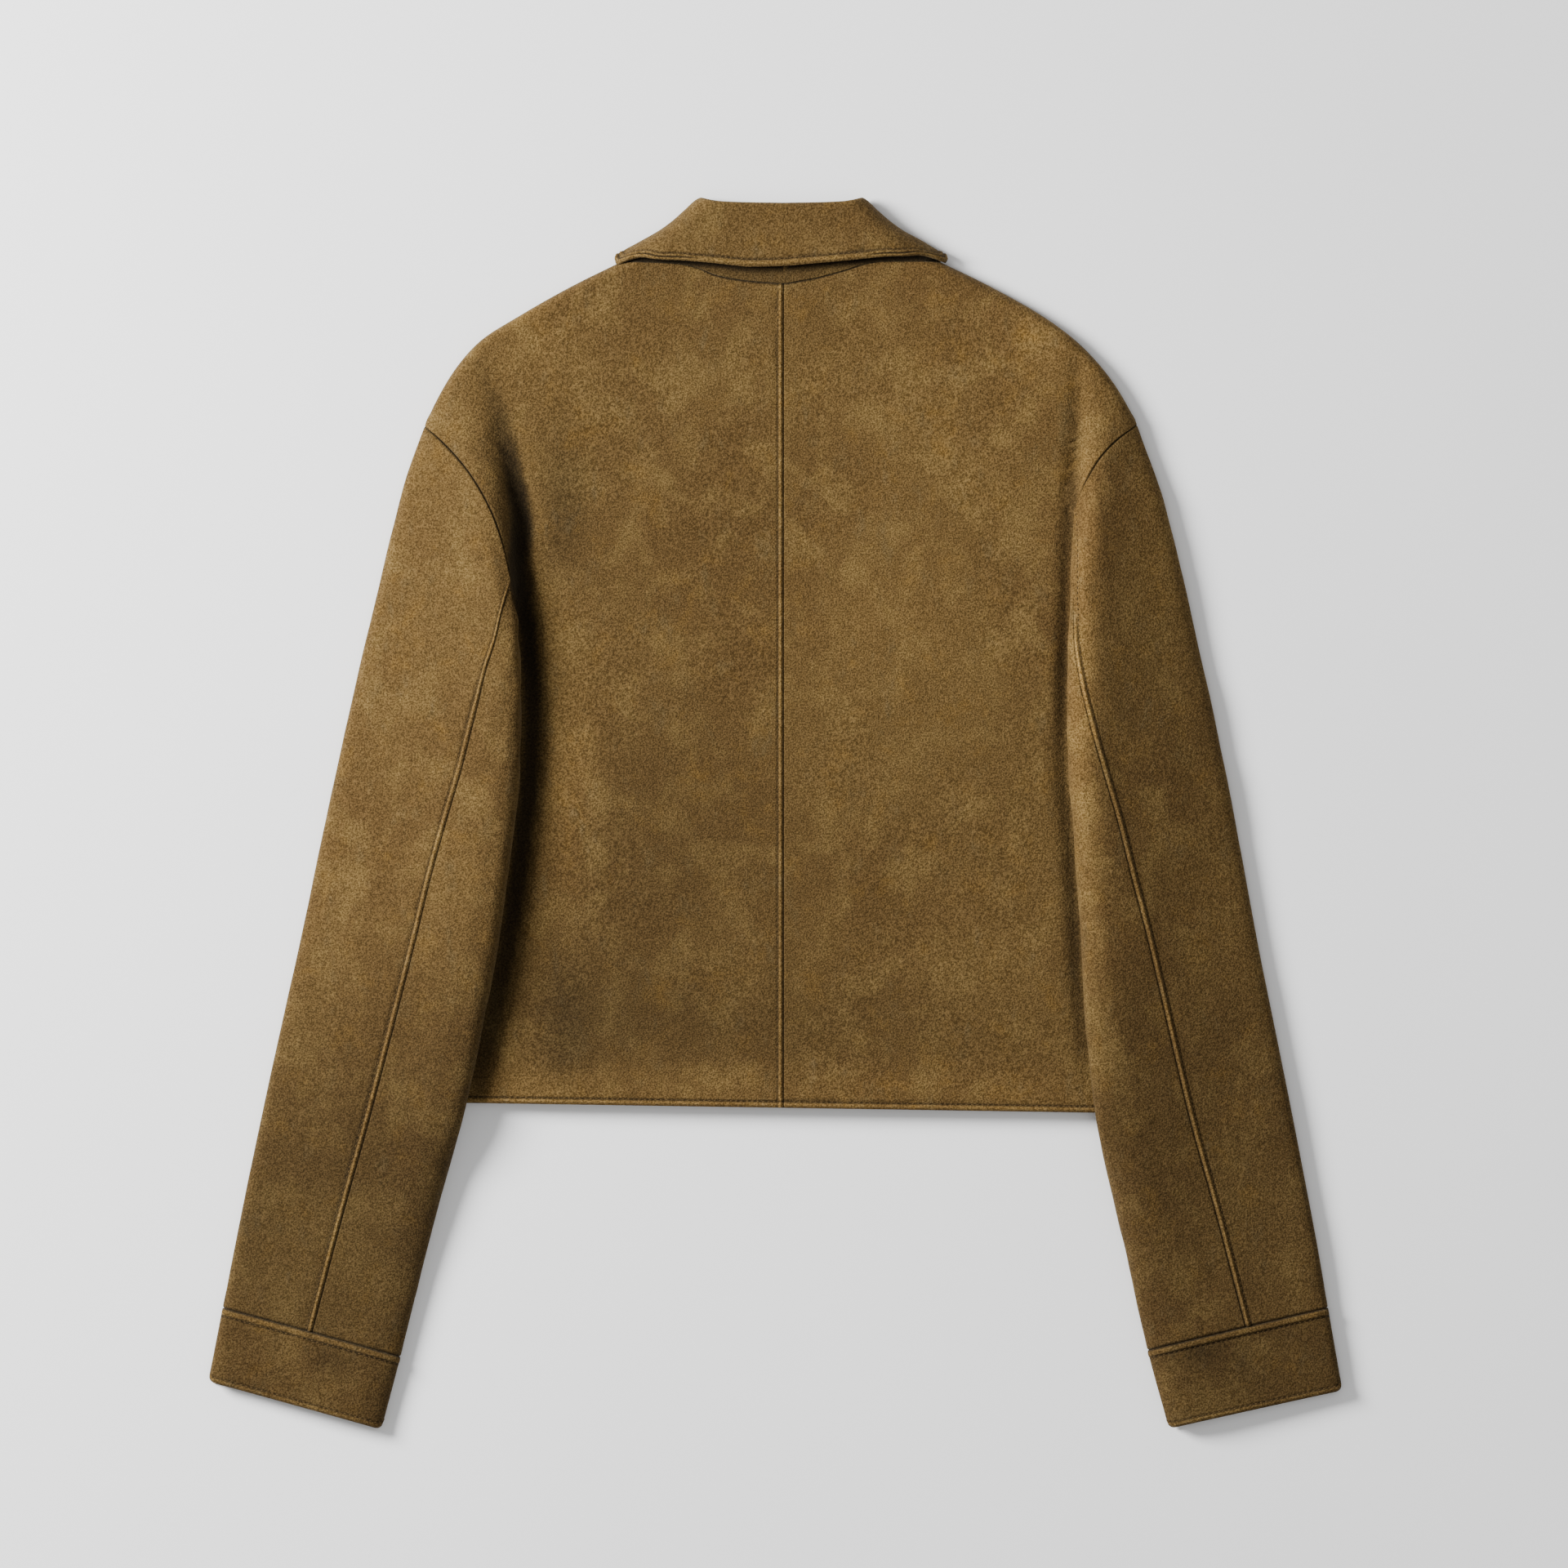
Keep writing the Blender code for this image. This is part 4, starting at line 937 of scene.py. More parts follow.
def build(name, sheet, material):
    """A closed shell: the outer face with its relief, the inner face and the edges between."""
    under_relief = np.minimum(sheet.relief + THINNING * sheet.wall, 0.0) - sheet.wall
    inner = sheet.points + sheet.normals * under_relief[..., None]
    points = np.concatenate([sheet.outer().reshape(-1, 3), inner.reshape(-1, 3)])
    under = sheet.wall.size
    place = np.arange(under).reshape(sheet.wall.shape)
    if sheet.closed:
        place = np.concatenate([place, place[:, :1]], axis=1)
    corners = (place[:-1, :-1], place[:-1, 1:], place[1:, 1:], place[1:, :-1])
    quads = np.stack(corners, axis=-1).reshape(-1, 4)
    faces = [quads, quads[:, ::-1] + under]
    borders = [place[0, ::-1], place[-1]]
    if not sheet.closed:
        borders += [place[:, 0], place[::-1, -1]]
    for border in borders:
        start, stop = border[:-1], border[1:]
        faces.append(np.stack([start, stop, stop + under, start + under], axis=1))
    faces = np.concatenate(faces)
    if facing_in(sheet):
        faces = faces[:, ::-1]
    # painted shade gives a tone below 1, painted highlight one above 1; the inner face stays plain
    tone = np.where(sheet.painted_light_and_shade < 0.0, PAINTED_SHADE_TONE ** -sheet.painted_light_and_shade, PAINTED_HIGHLIGHT_TONE ** sheet.painted_light_and_shade)
    tone = np.concatenate([tone.ravel(), np.ones(under)])
    return make_mesh(name + "_suede", points, faces.tolist(), material, name, tone)


def facing_in(sheet):
    """Whether the quads' own order faces against the sheet's normals."""
    p = sheet.points
    r, c = p.shape[0] // 2, p.shape[1] // 2
    face = np.cross(p[r, c + 1] - p[r, c], p[r + 1, c] - p[r, c])
    return float(np.dot(face, sheet.normals[r, c])) < 0


# ---- stitches

STITCH_LENGTH = 2.3
STITCH_PITCH = 3.3
THREAD = 0.28
THREAD_SIDES = 5
# how far ahead and back a row is read for a stitch's direction
STITCH_LOOK = 1.0
# how much deeper a stitch sits that faces down
UNDERSIDE_SINK = 0.55
# how a stitch bends and swells from end to end
STITCH_RINGS = (
    # place along it, share of the thread's radius, height
    (-1.0, 0.25, -0.35),
    (-0.55, 0.95, 0.1),
    (0.0, 1.0, 0.22),
    (0.55, 0.95, 0.1),
    (1.0, 0.25, -0.35),
)


def stitch_rings(run, facing, length, middle):
    """Points of one stitch, ring by ring."""
    centre = read_along(length, run, middle)
    forward = read_along(length, run, middle + STITCH_LOOK) - read_along(length, run, middle - STITCH_LOOK)
    forward /= np.linalg.norm(forward)
    up = read_along(length, facing, middle)
    up -= forward * np.dot(up, forward)
    up /= np.linalg.norm(up)
    side = np.cross(forward, up)
    if up[2] < 0:
        centre = centre - up * UNDERSIDE_SINK
    points = []
    for at, radius, lift in STITCH_RINGS:
        ring = centre + forward * at * STITCH_LENGTH / 2 + up * lift
        for angle in np.arange(THREAD_SIDES) * 2 * math.pi / THREAD_SIDES:
            points.append(ring + THREAD * radius * (side * math.cos(angle) + up * math.sin(angle)))
    return points


def stitches(name, runs, material):
    """Short rounded stitches sunk in the suede along some runs."""
    points, faces = [], []
    around = np.arange(THREAD_SIDES)
    for run, facing in runs:
        length = run_lengths(run)
        for middle in np.arange(STITCH_PITCH, length[-1] - STITCH_PITCH / 2, STITCH_PITCH):
            rings = len(points) + np.arange(len(STITCH_RINGS))[:, None] * THREAD_SIDES + around
            points += stitch_rings(run, facing, length, middle)
            ahead = np.roll(rings, -1, axis=1)
            sides = np.stack([rings[:-1], ahead[:-1], ahead[1:], rings[1:]], axis=-1)
            faces += sides.reshape(-1, 4).tolist() + [rings[0, ::-1].tolist(), rings[-1].tolist()]
    return make_mesh(name + "_stitches", np.array(points), faces, material)


# ---- materials

DARK = (0.0624, 0.0348, 0.0091)
MIDDLE = (0.0780, 0.0456, 0.0121)
LIGHT = (0.0972, 0.0594, 0.0163)
WARM = (0.0936, 0.0518, 0.0110)
COOL = (0.0720, 0.0456, 0.0146)
# what the suede's colour is multiplied by where the painted shade reaches -1, and where the painted
# highlight reaches 1
PAINTED_SHADE_TONE = 0.3
PAINTED_HIGHLIGHT_TONE = 1.7
MOTTLING = (
    # colour, scale, detail, roughness, stretch, place, distortion, starts at, full at
    (MIDDLE, 9.0, 4, 0.55, (1.0, 0.8, 1.0), 3.1, 0.2, 0.34, 0.66),
    (LIGHT, 38.0, 4, 0.6, (1.0, 0.8, 1.0), 7.7, 0.3, 0.44, 0.72),
    (WARM, 55.0, 4, 0.65, (1.0, 0.9, 1.0), 12.9, 0.3, 0.52, 0.80),
    (COOL, 70.0, 3, 0.6, (1.4, 0.7, 1.0), 21.3, 0.2, 0.55, 0.80),
)
# the grain: spots, flecks and the nap itself
GRAIN = (
    # scale, detail, place, share of the shift, distortion, darkest at, lightest at, darkest, lightest
    (150.0, 3, 2.2, 1.0, 0.2, 0.3, 0.7, (0.96, 0.96, 0.96), (1.04, 1.04, 1.04)),
    (420.0, 2, 5.5, 0.0, 0.0, 0.3, 0.7, (0.88, 0.87, 0.82), (1.12, 1.13, 1.18)),
    (1000.0, 2, 9.5, 0.0, 0.0, 0.34, 0.66, (0.56, 0.53, 0.40), (1.50, 1.56, 1.95)),
)
GRAIN_ROUGHNESS = 0.6
# a noise that isn't stretched, and the direction in which a noise's place moves
EVEN = (1.0, 1.0, 1.0)
SHIFT_TURN = (1.0, 1.7, 0.6)
SUEDE_SHADER = {
    "Roughness": 0.95,
    "Specular IOR Level": 0.12,
    "Sheen Weight": 0.09,
    "Sheen Roughness": 0.5,
    "Sheen Tint": (0.90, 0.70, 0.40, 1.0),
}
NAP_STRENGTH = 0.6
NAP_HEIGHT = 0.0009
# the thread's and the floor's noise: scale, detail, roughness, stretch, place, distortion;
# and the two values between which it goes from one colour to the other
THREAD_TWIST = (900.0, 2, 0.5, EVEN, 1.0, 0.0)
THREAD_COLOURS = (0.3, 0.7, (0.050, 0.029, 0.008), (0.092, 0.054, 0.016))
THREAD_SHADER = {"Roughness": 0.8, "Specular IOR Level": 0.2}
FLOOR_CLOUDS = (3.0, 3, 0.5, EVEN, 0.0, 0.0)
FLOOR_COLOURS = (0.2, 0.8, (0.90, 0.90, 0.90), (0.93, 0.93, 0.93))
FLOOR_SHADER = {"Roughness": 0.9}
NODE_GAP = 180.0


def node(tree, kind, **settings):
    made = tree.nodes.new(kind)
    made.location = (NODE_GAP * len(tree.nodes), 0.0)
    for key, value in settings.items():
        setattr(made, key, value)
    return made


def set_inputs(made, values):
    for key, value in values.items():
        made.inputs[key].default_value = value


def noise(tree, coords, scale, detail, roughness, stretch, place, distortion):
    mapping = node(tree, "ShaderNodeMapping")
    set_inputs(mapping, {"Scale": stretch, "Location": [place * share for share in SHIFT_TURN]})
    tree.links.new(coords, mapping.inputs["Vector"])
    made = node(tree, "ShaderNodeTexNoise")
    set_inputs(made, {"Scale": scale, "Detail": detail, "Roughness": roughness, "Distortion": distortion})
    tree.links.new(mapping.outputs["Vector"], made.inputs["Vector"])
    return made.outputs["Fac"]


def blend_colour(tree, factor, a, b, mode="MIX"):
    made = node(tree, "ShaderNodeMix", data_type="RGBA", blend_type=mode)
    colours = [socket for socket in made.inputs if socket.type == "RGBA"]
    for socket, value in zip(colours, (a, b)):
        if isinstance(value, tuple):
            socket.default_value = (*value, 1.0)
        else:
            tree.links.new(value, socket)
    if isinstance(factor, float):
        made.inputs["Factor"].default_value = factor
    else:
        tree.links.new(factor, made.inputs["Factor"])
    return [socket for socket in made.outputs if socket.type == "RGBA"][0]


def between(tree, value, low, high, a, b):
    """Goes from colour a to colour b as a value goes from low to high."""
    made = node(tree, "ShaderNodeMapRange", interpolation_type="SMOOTHSTEP")
    set_inputs(made, {"From Min": low, "From Max": high})
    tree.links.new(value, made.inputs["Value"])
    return blend_colour(tree, made.outputs["Result"], a, b)


def new_material(name, settings):
    """A material with its node tree, its shader and the object's own coordinates."""
    material = bpy.data.materials.new(name)
    material.use_nodes = True
    tree = material.node_tree
    shader = tree.nodes["Principled BSDF"]
    set_inputs(shader, settings)
    return material, tree, shader, node(tree, "ShaderNodeTexCoord").outputs["Object"]


def suede_material(name, tone, shift):
    """Napped suede: mottled olive brown, soft at grazing angles, with a fine uneven grain."""
    material, tree, shader, coords = new_material(name, SUEDE_SHADER)

    def toned(rgb):
        return tuple(c * tone for c in rgb)

    base = toned(DARK)
    for colour, scale, detail, roughness, stretch, place, distortion, low, high in MOTTLING:
        cloud = noise(tree, coords, scale, detail, roughness, stretch, place + shift, distortion)
        base = between(tree, cloud, low, high, base, toned(colour))
    grains = []
    for scale, detail, place, moves, distortion, low, high, darkest, lightest in GRAIN:
        grain = noise(tree, coords, scale, detail, GRAIN_ROUGHNESS, EVEN, place + moves * shift, distortion)
        tint = between(tree, grain, low, high, darkest, lightest)
        base = blend_colour(tree, 1.0, base, tint, "MULTIPLY")
        grains.append(grain)
    # multiplies the painted light and shade from the tone attribute into the colour
    painted_light_and_shade = node(tree, "ShaderNodeAttribute", attribute_name="tone").outputs["Fac"]
    base = blend_colour(tree, 1.0, base, painted_light_and_shade, "MULTIPLY")
    tree.links.new(base, shader.inputs["Base Color"])

    height = node(tree, "ShaderNodeMath", operation="ADD")
    for grain, socket in zip(grains[1:], height.inputs):
        tree.links.new(grain, socket)
    bump = node(tree, "ShaderNodeBump")
    set_inputs(bump, {"Strength": NAP_STRENGTH, "Distance": NAP_HEIGHT})
    tree.links.new(height.outputs[0], bump.inputs["Height"])
    tree.links.new(bump.outputs["Normal"], shader.inputs["Normal"])
    return material


def cloudy_material(name, settings, clouds, colours):
    """A plain surface that varies a little between two colours."""
    material, tree, shader, coords = new_material(name, settings)
    colour = between(tree, noise(tree, coords, *clouds), *colours)
    tree.links.new(colour, shader.inputs["Base Color"])
    return material


# ---- camera, light and floor

PICTURE_MIDDLE = (5.35, 18.1)
PICTURE_SIZE = 960.0
CAMERA_HEIGHT = 2000.0
WHITE = (1.0, 1.0, 1.0, 1.0)
AMBIENT = 0.43
LAMPS = (
    # name, place and size in metres, power
    ("key", (-2.1, 0.85, 1.4), 1.1, 218.0),
    ("fill", (0.3, -0.3, 2.6), 2.0, 14.0),
)
FLOOR_HALF = 3000.0
FLOOR_DROP = -0.1


def make_camera():
    data = bpy.data.cameras.new("camera")
    data.type = "ORTHO"
    data.ortho_scale = PICTURE_SIZE * METRE
    camera = bpy.data.objects.new("camera", data)
    camera.location = [part * METRE for part in (*PICTURE_MIDDLE, CAMERA_HEIGHT)]
    bpy.context.scene.collection.objects.link(camera)
    bpy.context.scene.camera = camera


def make_light():
    world = bpy.data.worlds.new("studio")
    world.use_nodes = True
    set_inputs(world.node_tree.nodes["Background"], {"Color": WHITE, "Strength": AMBIENT})
    bpy.context.scene.world = world
    for name, place, size, power in LAMPS:
        data = bpy.data.lights.new(name, "AREA")
        data.shape = "DISK"
        data.size = size
        data.energy = power
        lamp = bpy.data.objects.new(name, data)
        lamp.location = place
        lamp.rotation_euler = facing_middle(place)
        bpy.context.scene.collection.objects.link(lamp)


def facing_middle(place):
    """Angles that point a lamp's -Z at the middle of the floor."""
    x, y, z = -np.array(place) / np.linalg.norm(place)
    return (math.acos(-z), 0.0, math.atan2(-x, y))


def make_floor():
    mesh = bpy.data.meshes.new("floor")
    reach = FLOOR_HALF * METRE
    corners = [(x * reach, y * reach, 0.0) for x, y in ((-1, -1), (1, -1), (1, 1), (-1, 1))]
    mesh.from_pydata(corners, [], [(0, 1, 2, 3)])
    mesh.materials.append(cloudy_material("floor", FLOOR_SHADER, FLOOR_CLOUDS, FLOOR_COLOURS))
    floor = bpy.data.objects.new("floor", mesh)
    floor.location.z = FLOOR_DROP * METRE
    bpy.context.scene.collection.objects.link(floor)


# ---- relief, and painted light and shade

# the slow unevenness of the cloth, how far it keeps off the edges, and how it is drawn from a table
NOISE_TABLE = np.random.RandomState(7).rand(4096)
RIPPLES = (
    # height, size, what is added to the seed
    (0.55, 72.0, 0),
    (0.28, 31.0, 3),
    (0.12, 13.0, 5),
)
EDGE_CALM = 14.0
SEED_SHIFT = (91.3, 37.7)
CELL_STEPS = (73, 1237, 31)
UNEVEN = {
    # piece: height, seed
    "back_left": (1.0, 1),
    "back_right": (1.0, 2),
    "sleeve_upper_": (1.4, 11),
    "sleeve_under_": (1.4, 17),
    "cuff_": (0.8, 23),
    "collar_fall": (0.5, 29),
}

# narrow ditches at seams and rounded edges, darkened inside by painted shade
DITCHES = {
    # where: depth, width, painted shade
    "neck": (0.8, 0.9, 1.6),
    "armhole": (0.9, 0.7, 1.0),
    "centre back": (0.7, 0.4, 1.0),
    "centre back, flat side": (0.25, 0.35, 0.5),
    "sleeve seam": (0.7, 0.4, 1.0),
    "sleeve seam, flat side": (0.25, 0.4, 0.5),
    "above the cuff": (0.9, 0.8, 1.0),
    "cuff": (0.9, 0.6, 1.3),
    "rounded edge": (1.0, 0.9, 0.0),
    "fall": (1.1, 1.0, 0.0),
}
# raised ridges along seams, and how much a painted highlight lightens their crests
WELTS = {
    # where: its middle from the edge, height, width
    "centre back": (2.0, 0.8, 0.9),
    "hem": (1.8, 0.5, 1.0),
    "sleeve seam": (2.0, 0.9, 0.9),
    "cuff end": (1.6, 0.4, 1.1),
    "fall": (2.4, 0.6, 1.4),
    "lower layer": (1.3, 0.4, 0.7),
    "upper layer": (4.0, 0.6, 0.9),
}
WELT_LIGHT = 0.8
# shallow grooves, most of them along a row of stitches, darkened by painted shade
GROOVES = {
    # where: its middle from the edge, depth, width, painted shade
    "centre back": (3.9, 0.4, 0.5, 0.88),
    "hem": (3.8, 0.6, 0.6, 1.32),
    "front hem": (4.2, 0.3, 0.8, 0.0),
    "front edge": (6.0, 0.3, 0.8, 0.0),
    "sleeve seam": (4.0, 0.4, 0.5, 0.88),
    "cuff band": (4.9, 0.5, 0.5, 1.1),
    "cuff end": (3.4, 0.4, 0.5, 0.88),
    "between the layers": (2.6, 0.9, 0.45, 2.2),
    "fall": (4.8, 0.5, 0.8, 1.1),
}
# how far from the piece's edge a row of stitches starts, on the body and on the sleeve
ROW_START = 3.0
SLEEVE_ROW_START = 4.0
# where the armhole's ditch shows on the back
ARMHOLE_TOP = 235.0
ARMHOLE_BELOW_FOLD = 4.0
ARMHOLE_FADE = 6.0
# the sleeve seam's ridge starts at the fold on the left, and well below it on the right
WELT_TOP = {"left": 146.0, "right": 126.0}
WELT_FADE = 16.0
# how much of the seam's ditch shows above the ridge
SEAM_ABOVE_WELT = 0.25
# the sleeve's relief dies away where it comes down to the floor
SLEEVE_LOW = 4.0
SLEEVE_RISE = 4.0

# the crease in the back beside each sleeve, from the shoulder down, darkened by painted shade where the
# sleeve's shadow falls
VALLEY_WIDTH = {"left": 8.0, "right": 5.0}
VALLEY = {
    # y, how far inside the sleeve's inner edge, depth, how dark its painted shade is
    "left": ((290.0, 6.0, 0.0, 0.0), (236.0, 9.0, 1.0, 0.6), (213.0, 9.0, 2.0, 1.2), (183.0, 9.5, 3.0, 1.8),
             (148.0, 6.0, 3.5, 2.0), (100.0, 6.0, 4.0, 1.9), (33.0, 6.5, 4.0, 1.6), (-40.0, 6.0, 4.0, 1.5),
             (-90.0, 6.0, 3.5, 1.1), (-130.0, 5.5, 3.0, 0.8), (-185.0, 5.0, 0.0, 0.5)),
    "right": ((290.0, 1.5, 0.0, 0.0), (266.0, 1.5, 1.5, 0.3), (227.0, 1.5, 2.5, 0.6), (190.0, 1.0, 2.5, 0.8),
              (140.0, 1.0, 2.5, 0.65), (90.0, 1.0, 3.0, 0.9), (30.0, 1.0, 3.0, 0.5), (-70.0, 1.0, 3.0, 0.7),
              (-130.0, 1.0, 2.0, 0.3), (-185.0, 1.0, 0.0, 0.0)),
}
# how far the crease's painted shade reaches from its middle, away from the sleeve and towards it
SHADE_REACH = {"left": (5.5, 6.5), "right": (5.5, 2.5)}
SHADE_POWER = {"left": 4, "right": 2}
# the light on the flank that faces the lamp, beside the right sleeve's inner edge
FLANK_LIGHT = (
    # y, amount
    (280.0, 0.0), (240.0, 0.2), (190.0, 0.65), (140.0, 1.15), (60.0, 1.25), (0.0, 0.85), (-100.0, 0.3),
    (-180.0, 0.0),
)
FLANK_MIDDLE = 9.0
FLANK_REACH = 9.0
# the sleeves grow darker towards their cuffs, and the back lighter at its hem
LOW_SHADE = {"left": 0.42, "right": 0.24}
LOW_SHADE_TOP = -20.0
LOW_SHADE_RUN = 220.0
HEM_LIGHT = 0.30
HEM_LIGHT_TOP = -148.0
HEM_LIGHT_RUN = 22.0
# broad patches of painted light and shade
BROAD_TONES = {
    # part: x, y, reach across, reach up, amount
    "back": (
        (125.0, 238.0, 110.0, 150.0, 0.40),
        (172.0, 300.0, 34.0, 42.0, 0.55),
        (-150.0, 296.0, 45.0, 40.0, 0.30),
        (55.0, 118.0, 60.0, 45.0, 0.25),
        (-130.0, 190.0, 14.0, 42.0, -0.40),
        (-128.0, 25.0, 16.0, 55.0, 0.50),
        (-130.0, -130.0, 16.0, 42.0, -0.40),
        (-75.0, -42.0, 75.0, 100.0, -0.20),
        (-20.0, -126.0, 130.0, 28.0, -0.18),
        (-115.0, -125.0, 40.0, 45.0, -0.15),
    ),
    "sleeve": ((228.0, 185.0, 26.0, 75.0, 0.45),),
    "cuff": (
        (260.0, -330.0, 16.0, 9.0, -0.30),
        (288.0, -341.0, 8.0, 12.0, -0.15),
        (236.0, -350.0, 7.0, 14.0, 0.30),
        (-270.0, -335.0, 18.0, 9.0, -0.22),
        (-294.0, -330.0, 8.0, 14.0, 0.20),
    ),
}


def hump(distance, middle, width):
    return np.exp(-((distance - middle) / width) ** 2)


def ripple(x, y, size, seed):
    """Soft bumps between -1 and 1, size millimetres apart."""
    gx, gy = (place / size + shift * seed for place, shift in zip((x, y), SEED_SHIFT))
    ix, iy = np.floor(gx).astype(int), np.floor(gy).astype(int)
    fx, fy = smooth_step(gx - ix), smooth_step(gy - iy)

    def corner(a, b):
        place = (ix + a) * CELL_STEPS[0] + (iy + b) * CELL_STEPS[1] + seed * CELL_STEPS[2]
        return NOISE_TABLE[place % len(NOISE_TABLE)]

    low = mix(corner(0, 0), corner(1, 0), fx)
    high = mix(corner(0, 1), corner(1, 1), fx)
    return 2.0 * mix(low, high, fy) - 1.0


def unevenness(sheet, name):
    """The slow unevenness of the whole cloth."""
    amount, seed = UNEVEN[name]
    edge = np.minimum(sheet.top, sheet.bottom)
    if not sheet.closed:
        edge = np.minimum(edge, np.minimum(sheet.first, sheet.last))
    soft = sum(height * ripple(sheet.x(), sheet.y(), size, seed + more) for height, size, more in RIPPLES)
    return amount * soft * smooth_step(edge / EDGE_CALM)


def ditch(sheet, distance, where, share=1.0):
    """A seam's narrow ditch along an edge, darkened inside by painted shade."""
    depth, width, shade = DITCHES[where]
    shape = hump(distance, 0.0, width) * share
    sheet.relief -= depth * shape
    sheet.painted_light_and_shade -= shade * shape


def welt(sheet, distance, where, share=1.0):
    """A raised ridge along a seam, its crest lightened by a painted highlight."""
    middle, height, width = WELTS[where]
    shape = hump(distance, middle, width) * share
    sheet.relief += height * shape
    sheet.painted_light_and_shade += WELT_LIGHT * shape


def groove(sheet, distance, where, share=1.0):
    """A shallow groove, such as a row of stitches pulls into the suede, darkened by painted shade."""
    middle, depth, width, shade = GROOVES[where]
    shape = hump(distance, middle, width) * share
    sheet.relief -= depth * shape
    sheet.painted_light_and_shade -= shade * shape


def broad_tones(sheet, part):
    for x, y, across, up, amount in BROAD_TONES[part]:
        # painted light and shade in broad soft patches
        sheet.painted_light_and_shade += amount * hump(sheet.x(), x, across) * hump(sheet.y(), y, up)


def valley(sheet, half):
    """The crease in the back beside the sleeve and up towards the shoulder."""
    out, y = sheet.plan(half)
    inside, depth, shade = (read_table(VALLEY[half.side], column, y) for column in (1, 2, 3))
    past = out - half.inner_at(y) + inside
    away, towards = SHADE_REACH[half.side]
    reach = np.where(past < 0.0, away, towards)
    sheet.relief -= depth * hump(past, 0.0, VALLEY_WIDTH[half.side])
    # painted shade: the sleeve's shadow along the crease
    sheet.painted_light_and_shade -= shade * np.exp(-(np.abs(past) / reach) ** SHADE_POWER[half.side])


def flank_light(sheet, half):
    """A painted highlight on the flank beside the right sleeve's inner edge, where it faces the lamp."""
    out, y = sheet.plan(half)
    if half.side == "right":
        sheet.painted_light_and_shade += read_table(FLANK_LIGHT, 1, y) * hump(out - half.inner_at(y), FLANK_MIDDLE, FLANK_REACH)


# ---- body

# the hidden fronts need fewer points
FRONT_STEP = 4.0
FRONT_EDGE_STEP = 2.0


def back_piece(half, material, thread):
    name = "back_" + half.side
    sheet = Sheet(*body_panel(half, True), WALL)
    y = sheet.y()
    armhole = smooth_step((ARMHOLE_TOP - y) / ARMHOLE_FADE)
    armhole = armhole * smooth_step((y - half.fold_y + ARMHOLE_BELOW_FOLD) / ARMHOLE_FADE)
    ditch(sheet, sheet.top, "neck")
    ditch(sheet, sheet.last, "armhole", armhole)
    ditch(sheet, sheet.bottom, "rounded edge")
    welt(sheet, sheet.bottom, "hem")
    groove(sheet, sheet.bottom, "hem")
    runs = [("bottom", "hem")]
    if half.side == "left":
        ditch(sheet, sheet.first, "centre back")
        welt(sheet, sheet.first, "centre back")
        groove(sheet, sheet.first, "centre back")
        runs.append(("first", "centre back"))
    else:
        ditch(sheet, sheet.first, "centre back, flat side")
    sheet.relief += unevenness(sheet, name)
    valley(sheet, half)
    flank_light(sheet, half)
    broad_tones(sheet, "back")
    sheet.painted_light_and_shade += HEM_LIGHT * smooth_step((HEM_LIGHT_TOP - y) / HEM_LIGHT_RUN)
    lines = [sheet.line(edge, GROOVES[where][0], ROW_START) for edge, where in runs]
    return build(name, sheet, material), stitches(name, lines, thread)


def front_piece(half, material, thread):
    name = "front_" + half.side
    sheet = Sheet(*body_panel(half, False), WALL, FRONT_STEP, FRONT_EDGE_STEP)
    runs = (("bottom", "front hem"), ("first", "front edge"))
    for edge, where in runs:
        groove(sheet, getattr(sheet, edge), where)
    lines = [sheet.line(edge, GROOVES[where][0], ROW_START) for edge, where in runs]
    return build(name, sheet, material), stitches(name, lines, thread)


# ---- sleeves and cuffs

CUFF_STEP = 1.6
CUFF_CORNER = 4.0
CUFF_CORNER_REACH = 12.0
# the raised band at the cuff's top: where it starts and ends, how softly, its height and its light
BAND = (0.6, 4.6)
BAND_SOFTNESS = (0.8, 1.2)
BAND_HEIGHT = 0.9
BAND_LIGHT = 0.75
# the cuff's relief dies away near the floor, and where the cloth turns down
CUFF_LOW = 0.5
CUFF_RISE = 3.0
CUFF_TURNED = 0.1
CUFF_TURN = 0.6


def round_corners(sheet):
    """Rounds the two corners of a cuff's end, seen from above."""
    end, start = sheet.points[-1, :, :2], sheet.points[0, :, :2]
    across = end[np.argmax(end[:, 0])] - end[np.argmin(end[:, 0])]
    across /= np.linalg.norm(across)
    place = end @ across
    inside = np.clip(np.minimum(place - place.min(), place.max() - place), 0.0, CUFF_CORNER)
    rise = CUFF_CORNER - np.sqrt(CUFF_CORNER**2 - (CUFF_CORNER - inside) ** 2)
    up = (start - end) / np.linalg.norm(start - end, axis=1, keepdims=True)
    share = smooth_step(1.0 - sheet.bottom / CUFF_CORNER_REACH)
    sheet.points[..., :2] += (share * rise)[..., None] * up


def sleeve_piece(half, stem, grid, material, thread):
    name, upper = stem + half.side, stem == "sleeve_upper_"
    sheet = Sheet(*grid)
    lying = smooth_step((sheet.z() - SLEEVE_LOW) / SLEEVE_RISE)
    below = smooth_step((WELT_TOP[half.side] - sheet.y()) / WELT_FADE)
    seam, flat_side = (sheet.last, "") if upper else (sheet.first, ", flat side")
    ditch(sheet, seam, "sleeve seam" + flat_side, mix(SEAM_ABOVE_WELT, 1.0, below))
    ditch(sheet, sheet.top, "armhole", lying)
    ditch(sheet, sheet.bottom, "above the cuff")
    if upper:
        welt(sheet, seam, "sleeve seam", below)
        groove(sheet, seam, "sleeve seam", below)
    sheet.relief += unevenness(sheet, stem) * lying
    sheet.painted_light_and_shade -= LOW_SHADE[half.side] * smooth_step((LOW_SHADE_TOP - sheet.y()) / LOW_SHADE_RUN)
    broad_tones(sheet, "sleeve")
    flank_light(sheet, half)
    piece = build(name, sheet, material)
    if not upper:
        return piece, None
    return piece, stitches(name, [sheet.line("last", GROOVES["sleeve seam"][0], SLEEVE_ROW_START)], thread)


